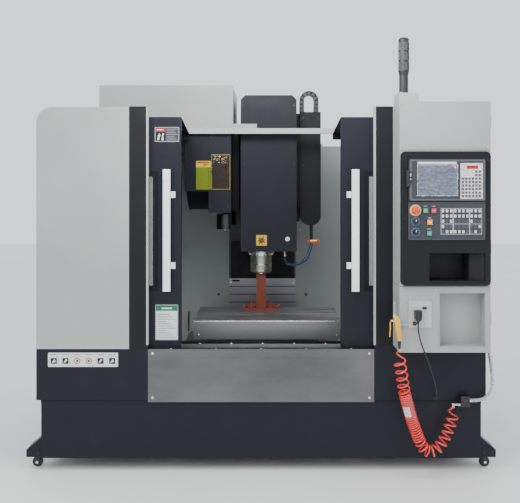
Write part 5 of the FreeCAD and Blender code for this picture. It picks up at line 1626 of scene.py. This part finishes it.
def socket_details():
    """Thin outline, switch rocker and black sockets of the service plate, and its plug's cap."""
    start, stop = extent("service_socket")
    face = FRONT - 185
    art = Art((start.x, face, start.z))
    wide, tall = stop.x - start.x, stop.z - start.z
    art.rim("ink_grey", 2, 2, wide - 4, tall - 4, 0.9)
    art.rounded("black_plastic", 72, 100, 26, 13, 6, 2, 3)
    art.rect("ink_grey", 104, 112, 16, 1.6, 2)
    art.rect("ink_grey", 82, 84, 18, 1.6, 2)
    for u in (8, wide - 8):
        for v in (8, tall - 8):
            art.disc("screw_steel", u, v, 3.4, 1, 1, 12)
    art.build("socket_face", "machine", "socket_plastic")
    plug, top = low("plug"), high("plug")

    def shellwork(bm):
        middle = (plug.x + top.x) / 2
        prism_mesh(bm, [(plug.x + 3, plug.z + 12), (plug.x + 13, plug.z + 1),
                        (top.x - 13, plug.z + 1), (top.x - 3, plug.z + 12),
                        (top.x - 1, top.z - 2), (plug.x + 1, top.z - 2)],
                   plug.y + 1.5, top.y - 0.3)
        for k in range(5):
            z = plug.z + 16 + k * 7
            box_mesh(bm, (plug.x + 6, plug.y, z), (top.x - 6, plug.y + 2, z + 3))
        rod_mesh(bm, (middle, plug.y + 17, plug.z + 2), (middle, plug.y + 17, plug.z - 14),
                 7.5, 4.2, 20)
        for k in range(3):
            ring_mesh(bm, (middle, plug.y + 17, plug.z - (4 + 4 * k)), (0, 0, 1), 3.6,
                      (7.6 - 0.9 * k), 1.6, 20)

    body = piece("plug_body", "machine", "black_plastic", shellwork, edge=1.0,
                 node="plug")

    def dial(bm):
        x, z = 806, 853
        ring_mesh(bm, (x, face - 13.4, z), (0, 1, 0), 4, 10.6, 12.5, 24)
        box_mesh(bm, (x - 2.2, face - 15, z - 9), (x + 2.2, face - 11, z + 9))

    piece("socket_dial", "machine", "black_plastic", dial, edge=0.8)
    return body


def lamp_details():
    """The stacked lenses, seams and cap of the signal lamp."""
    start, stop = extent("signal_lamp")
    middle = (start + stop) / 2
    tall = stop.z - start.z

    def rings(bm):
        for share in (0.40, 0.575, 0.75, 0.955):
            ring_mesh(bm, (middle.x, middle.y, start.z + tall * share), (0, 0, 1), 26.5, 29,
                      4, 40)

    def lenses(bm):
        for share in (0.42, 0.595, 0.77):
            base = start.z + tall * share
            count = 36
            for k in range(count):
                turn = 2 * math.pi * k / count
                x, y = middle.x + 28 * math.cos(turn), middle.y + 28 * math.sin(turn)
                rod_mesh(bm, (x, y, base), (x, y, base + tall * 0.145), 1.3, 1.3, 6)

    piece("lamp_rings", "machine", "black_plastic", rings, edge=0.6)
    piece("lamp_lenses", "machine", "lamp_lens", lenses)


# ---------------------------------------------------------------- air gun and fittings
def gun_details():
    """The moulded air gun with its hook, nozzle and swivel, in place of the plain CAD one."""
    middle = FRONT - 221
    x, top, base = 708, 903, 768

    def body(bm):
        profile = [(x - 19, top - 24), (x - 15, top - 8), (x - 5, top - 1),
                   (x + 7, top - 8), (x + 15, top - 30), (x + 21, base + 22),
                   (x + 22, base + 2), (x + 4, base + 1), (x - 2, base + 30),
                   (x - 9, base + 66), (x - 12, base + 92)]
        prism_mesh(bm, profile, middle - 12, middle + 12)
        for k in range(6):
            z = base + 14 + 9 * k
            lean = (x + 21) - 0.06 * (z - base)
            rod_mesh(bm, (lean - 17, middle - 13.2, z), (lean - 3, middle - 13.2, z), 1.8,
                     1.8, 8)

    def metal(bm):
        rod_mesh(bm, (x - 14, middle, top - 12), (x - 14, middle, top + 6), 8, 6.5, 20)
        rod_mesh(bm, (x - 14, middle, top + 4), (x - 14, middle, top + 68), 3.6, 2.6)
        box_mesh(bm, (x - 34, middle - 8, top - 33), (x - 16, middle + 8, top - 25))
        rod_mesh(bm, (x - 24, middle - 10, top - 29), (x - 24, middle + 10, top - 29), 3)

    def swivel(bm):
        sx = 721
        rod_mesh(bm, (sx, middle, base + 3), (sx, middle, base - 10), 9.5, 9.5, 6)
        rod_mesh(bm, (sx, middle, base - 10), (sx, middle, base - 26), 8, 8, 24)
        rod_mesh(bm, (sx, middle, base - 26), (sx, middle, base - 50), 6.5, 5, 24)
        for k in range(4):
            ring_mesh(bm, (sx, middle, base - (28 + 5 * k)), (0, 0, 1), 4, (7 - 0.4 * k),
                      2.4, 20)

    piece("gun_body", "machine", "gun_yellow", body, edge=3.2, node="air_gun")
    piece("gun_nozzle", "machine", "bright_steel", metal, edge=0.5)
    piece("gun_swivel", "machine", "black_plastic", swivel, edge=0.5)
    start, stop = extent("gun_trigger")

    def trigger(bm):
        prism_mesh(bm, [(stop.x - 1, stop.z), (start.x + 2, stop.z - 6), (start.x + 3, stop.z - 34),
                        (start.x + 0.5, start.z + 14), (start.x, start.z),
                        (start.x + 4, start.z + 1), (start.x + 6, start.z + 24),
                        (stop.x, stop.z - 30)], start.y + 0.5, stop.y - 0.5)

    piece("trigger_lever", "gun_trigger", "gun_yellow", trigger, edge=1.2,
          node="gun_trigger")


def coil_wraps():
    """The film and paper label round the tight part of the coil, and the tube's end nuts."""
    route = walked(row(COIL_ROUTE), 0.004)
    total = len(route) - 1

    def sleeve(first, last, radius, wobble, seed):
        def fill(bm):
            rng = random.Random(seed)
            line = route[int(first * total):int(last * total)]
            offsets = [rng.uniform(-wobble, wobble) for _ in line]
            swept(bm, line, lambda share: radius + offsets[int(share * (len(line) - 1))], 26, cap=False)
        return fill

    piece("coil_film", "machine", "coil_film", sleeve(0.575, 0.735, 33.5 * MM, 0.9 * MM, 4))
    piece("coil_label", "machine", "white_film", label_patch(route, 0.60, 0.665))

    def nuts(bm):
        start, stop = route[0] / MM, route[-1] / MM
        rod_mesh(bm, start + Vector((0, 0, 13)), start - Vector((0, 0, 6)), 8.5, 7.5, 6)
        rod_mesh(bm, stop - Vector((0, 0, 4)), stop + Vector((0, 0, 8)), 7.5, 7.5, 6)

    piece("coil_nuts", "machine", "brass", nuts, edge=0.4)


def label_patch(route, first, last):
    """A paper strip bent over the front of the coil."""
    total = len(route) - 1

    def fill(bm):
        line = route[int(first * total):int(last * total) + 1]
        rows = []
        for index, place in enumerate(line):
            way = (line[min(index + 1, len(line) - 1)] - line[max(index - 1, 0)]).normalized()
            front = Vector((0, -1, 0))
            front = (front - way * front.dot(way)).normalized()
            over = way.cross(front)
            rows.append([bm.verts.new(place + (front * math.cos(t) + over * math.sin(t)) * 34.6 * MM)
                         for t in (math.radians(-58 + 58 * k / 6) for k in range(7))])
        for one, two in zip(rows, rows[1:]):
            for k in range(6):
                bm.faces.new((one[k], one[k + 1], two[k + 1], two[k]))
    return fill


def fitting_details():
    """Ports, nuts and tubes of the valve block, and the film and ties round the twin hose."""
    middle = FRONT - 40

    def block_body(bm):
        box_mesh(bm, (1085, FRONT - 54, 397), (1134, FRONT - 1, 431))
        box_mesh(bm, (1085, FRONT - 54, 373), (1134, FRONT - 13, 397))
        for x in (1097, 1122):
            rod_mesh(bm, (x, FRONT - 53, 414), (x, FRONT - 58, 414), 7, 7, 6)

    def ports(bm):
        rod_mesh(bm, (1085, middle, 384), (1072, middle, 384), 10, 10, 6)
        rod_mesh(bm, (1074, middle, 384), (1046, middle, 384), 6.6)
        ball_mesh(bm, (1046, middle, 384), 8.4)
        rod_mesh(bm, (1134, middle, 406), (1149, middle, 406), 11, 11, 6)

    def gland(bm):
        x, y, z = 1252, FRONT + 60, 900
        rod_mesh(bm, (x, y, z + 21), (x, y, z + 4), 15.6, 15.6, 28)
        rod_mesh(bm, (x, y, z + 4), (x, y, z - 9), 13.6, 12.4, 6)
        box_mesh(bm, (1236, y - 15.5, z + 1), (1252, y + 15.5, z + 21))
        ring_mesh(bm, (957, FRONT - 7, 410), (0, 1, 0), 4, 11, 7, 24)

    piece("valve_block", "machine", "black_plastic", block_body, edge=1.5,
          node="hose_fittings")
    piece("valve_ports", "machine", "screw_steel", ports, edge=0.4)
    piece("hose_gland", "machine", "black_plastic", gland, edge=0.8)
    route = walked(row(TWIN_ROUTE), 0.003)
    total = len(route) - 1

    def tubes(bm):
        for shift in (-4.6 * MM, 4.6 * MM):
            line = []
            for index, place in enumerate(route):
                way = (route[min(index + 1, total)] - route[max(index - 1, 0)]).normalized()
                side = (Vector((0, 1, 0)) - way * way.y).normalized()
                line.append(place + side * shift)
            swept(bm, line, 3.4 * MM, 10)

    piece("twin_tubes", "machine", "hose_grey", tubes)

    def crinkle(bm):
        rng = random.Random(21)
        line = route[int(0.30 * total):int(0.97 * total)]
        offsets = [rng.uniform(-2.2, 1.8) * MM for _ in line]
        swept(bm, line, lambda share: 10.6 * MM + offsets[int(share * (len(line) - 1))], 14, cap=False)

    piece("hose_wrap", "machine", "clear_film", crinkle)

    def ties(bm):
        for share in (0.29, 0.62, 0.93):
            index = int(share * total)
            way = (route[index + 1] - route[index - 1]).normalized()
            ring_mesh(bm, route[index] / MM - way * 3, way, 9.4, 12.4, 6, 24)

    piece("hose_ties", "machine", "white_plastic", ties, edge=0.5)


# ---------------------------------------------------------------- tank, casters, back of the machine
def tank_details():
    """Folded rim, stiffeners, bolts and drain of the coolant tank."""
    top, face, half = 392, FRONT + 15, 1213

    def rims(bm):
        box_mesh(bm, (-half - 1, face - 2.4, top - 16), (half + 1, face + 0.2, top - 0.6))
        for side in (-1, 1):
            inner, outer = sorted((side * (half + 2.4), side * (half - 0.2)))
            box_mesh(bm, (inner, face, top - 16), (outer, face + 330, top - 0.6))
            prism_mesh(bm, [(side * half, 82), (side * 1290, 82), (side * 1290, 106),
                            (side * half, 172)], FRONT + 29, FRONT + 30.2)

    def bolts(bm):
        for side in (-1, 1):
            for x, z in ((1232, 96), (1232, 146), (1278, 96)):
                screws(bm, [(side * x, FRONT + 29, z)], 7)
        rod_mesh(bm, (1213, FRONT + 260, 100), (1226, FRONT + 260, 100), 17, 17, 6)
        rod_mesh(bm, (1224, FRONT + 260, 100), (1236, FRONT + 260, 100), 9, 9, 4)

    piece("tank_rims", "machine", "dark_paint", rims, edge=0.8)
    piece("tank_bolts", "machine", "dark_screw", bolts)


def caster_details(name):
    """Hub rings, tread ribs and axle nuts of one caster."""
    start, stop = extent(f"{name}_wheel")
    centre = (start + stop) / 2

    def hub(bm):
        for y, way in ((start.y, -1), (stop.y, 1)):
            ring_mesh(bm, (centre.x, y - (1.4 if way < 0 else 0), centre.z), (0, 1, 0), 5.8,
                      17, 1.4, 28)

    def treads(bm):
        for k in range(30):
            turn = 2 * math.pi * k / 30
            x, z = centre.x + 28.6 * math.cos(turn), centre.z + 28.6 * math.sin(turn)
            box_mesh(bm, (x - 0.5, start.y + 5, z - 0.5), (x + 0.5, stop.y - 5, z + 0.5))

    def nuts(bm):
        for way in (-1, 1):
            y = centre.y + way * 17
            rod_mesh(bm, (centre.x, y, centre.z), (centre.x, y + way * 6, centre.z), 8, 8, 6)

    piece(f"{name}_hub", f"{name}_wheel", "dark_screw", hub, edge=0.3)
    piece(f"{name}_tread", f"{name}_wheel", "wheel_rubber", treads)
    piece(f"{name}_axle_nuts", f"{name}_fork", "screw_steel", nuts)


def back_details():
    """Electric cabinet: hinges, locks, isolator, fans and louvres; the motor's fins behind the head."""
    back = high("electric_cabinet").y
    art = Art((500, back, 700), (-1, 0, 0))
    art.rim("seam", 15, 15, 970, 1170, 2)
    for v in (150, 600, 1050):
        art.rounded("light_paint", 930, v, 30, 90, 5, 1, 6)
    for v in (250, 950):
        art.disc("black_plastic", 60, v, 24, 1, 3)
        art.disc("screw_steel", 60, v, 14, 1, 5)
        art.rect("seam", 52, (v - 2), 16, 4, 1, 5.2)
    art.rounded("stop_yellow", 110, 560, 110, 110, 6, 2, 1)
    art.disc("stop_red", 165, 615, 36, 2, 8)
    art.rect("stop_red", 156, 578, 18, 74, 2, 24)
    for u, v in ((620, 160), (820, 160)):
        art.rounded("grey_plastic", (u - 75), (v - 75), 150, 150, 8, 2, 3)
        for k in range(9):
            art.rect("seam", (u - 62), (v - 60 + 14 * k), 124, 7, 3, 3)
    for k in range(14):
        art.rounded("seam", 330, (820 + 20 * k), 240, 7, 3)
    art.build("electric_face", "machine", "light_paint")

    def motor(bm):
        for k in range(11):
            z = 1962 + k * 17
            for y0, y1 in ((494, 510), (650, 664)):
                box_mesh(bm, (-72, y0, z), (72, y1, z + 6))
            for side in (-1, 1):
                inner, outer = sorted((side * 69, side * 80))
                box_mesh(bm, (inner, 512, z), (outer, 648, z + 6))
        box_mesh(bm, (-62, 500, 1950), (62, 660, 1958))

    piece("motor_fins", "machine", "black_plastic", motor, edge=0.8)

    def flank_art(side):
        plane = side * 500
        origin = (plane, 1000, 700) if side > 0 else (plane, 1222, 700)
        flank = Art(origin, (0, side, 0))
        for k in range(12):
            flank.rounded("seam", 40, (880 + 20 * k), 140, 7, 3)
        for v in (60, 1140):
            for u in (20, 200):
                flank.disc("screw_steel", u, v, 6, 1, 2, 14)
        for k in range(4):
            flank.disc("black_plastic", (60 + 32 * k), 40, 13, 1, 12, 6)
        flank.build(f"electric_flank_{'right' if side > 0 else 'left'}", "machine", "light_paint")

    flank_art(-1)
    flank_art(1)


def column_details():
    """Bolts and ribs on the bed and the column, and nuts on the levelling feet."""
    start = low("bed")

    def bolts(bm):
        for side in (-1, 1):
            for k in range(7):
                y = start.y + 120 + k * 220
                x = side * 520
                rod_mesh(bm, (x, y, 455), (x + side * 7, y, 455), 11, 11, 6)
            x = side * 310
            for z in (1300, 1600, 1880):
                for y in (620, 900):
                    rod_mesh(bm, (x, y, z), (x + side * 7, y, z), 12, 12, 6)

    def ribs(bm):
        for side in (-1, 1):
            x0, x1 = sorted((side * 308, side * 322))
            for z in (1040, 1240, 1440, 1640, 1840):
                box_mesh(bm, (x0, 460, z), (x1, 970, z + 24))

    piece("casting_bolts", "machine", "screw_steel", bolts, edge=0.6)
    piece("casting_ribs", "machine", "cast_iron", ribs, edge=3)

    def feet(bm):
        for x in (-430, 430):
            for y in (-470, 230, 930):
                for z in (34, 60):
                    rod_mesh(bm, (x, y, z), (x, y, (z + 18)), 38, 38, 6)

    piece("foot_nuts", "machine", "screw_steel", feet, edge=0.8)


class BuildEnclosure(bpy.types.Operator):
    """Add trims, seams, screws, louvres and the picture strip"""
    bl_idname = "machine.build_enclosure"
    bl_label = "Enclosure"

    def execute(self, context):
        enclosure_trims()
        panel_seams()
        apron_details()
        symbol_strip()
        filler_sheets()
        cover_fixings()
        hood_details()
        return {"FINISHED"}


class BuildDoors(bpy.types.Operator):
    """Add window gaskets, folds, rollers and labels to the doors"""
    bl_idname = "machine.build_doors"
    bl_label = "Doors"

    def execute(self, context):
        door_details(-1, "left")
        door_details(1, "right")
        door_labels()
        return {"FINISHED"}


class BuildHead(bpy.types.Operator):
    """Add labels, collars, hose, links, pots and way lips"""
    bl_idname = "machine.build_head"
    bl_label = "Head and tool changer"

    def execute(self, context):
        head_details()
        clamp_cap()
        duct_details()
        nozzle_hose()
        magazine_labels()
        pot_details()
        way_details()
        table_details()
        return {"FINISHED"}


class BuildConsole(bpy.types.Operator):
    """Add the screen, keys, knobs, tray, socket and lamp"""
    bl_idname = "machine.build_console"
    bl_label = "Console and cabinet"

    def execute(self, context):
        display_details()
        panel_details()
        mushroom_details()
        console_details()
        cabinet_details()
        lamp_details()
        for knob in ("feed_knob", "speed_knob"):
            knob_details(knob)
        for button, sign in BUTTON_SIGNS.items():
            button_details(button, sign)
        return {"FINISHED"}


class BuildFittings(bpy.types.Operator):
    """Add the air gun, the valve block, films and ties"""
    bl_idname = "machine.build_fittings"
    bl_label = "Air gun and fittings"

    def execute(self, context):
        gun_details()
        coil_wraps()
        fitting_details()
        return {"FINISHED"}


class BuildBack(bpy.types.Operator):
    """Add the tank's rim, the casters' hubs and the rear cabinet's parts"""
    bl_idname = "machine.build_back"
    bl_label = "Tank, casters and back"

    def execute(self, context):
        tank_details()
        caster_details("left")
        caster_details("right")
        back_details()
        column_details()
        return {"FINISHED"}


# ---------------------------------------------------------------- the add-on
CLASSES = (MachineSizes, MachineColours, BuildStage, FinishFrame, BuildCords, BuildEnclosure, BuildDoors,
           BuildHead, BuildConsole, BuildFittings, BuildBack)
STEPS = ("build_stage", "finish_frame", "build_cords", "build_enclosure", "build_doors", "build_head",
         "build_console", "build_fittings", "build_back")


class MachinePanel(bpy.types.Panel):
    """Lists the machine's settings and the steps that build it"""
    bl_idname = "VIEW3D_PT_machine"
    bl_label = "Machining centre"
    bl_space_type = "VIEW_3D"
    bl_region_type = "UI"
    bl_category = "Machine"

    def draw(self, context):
        for settings in (context.scene.machine_sizes, context.scene.machine_colours):
            for name in settings.bl_rna.properties.keys():
                if name not in ("rna_type", "name"):
                    self.layout.prop(settings, name)
        for step in STEPS:
            self.layout.operator(f"machine.{step}")


def register():
    for cls in CLASSES + (MachinePanel,):
        bpy.utils.register_class(cls)
    bpy.types.Scene.machine_sizes = bpy.props.PointerProperty(type=MachineSizes)
    bpy.types.Scene.machine_colours = bpy.props.PointerProperty(type=MachineColours)


def unregister():
    del bpy.types.Scene.machine_colours
    del bpy.types.Scene.machine_sizes
    for cls in reversed(CLASSES + (MachinePanel,)):
        bpy.utils.unregister_class(cls)


def main():
    register()
    make_materials()
    for step in STEPS:
        getattr(bpy.ops.machine, step)()


if __name__ == "__main__":
    main()
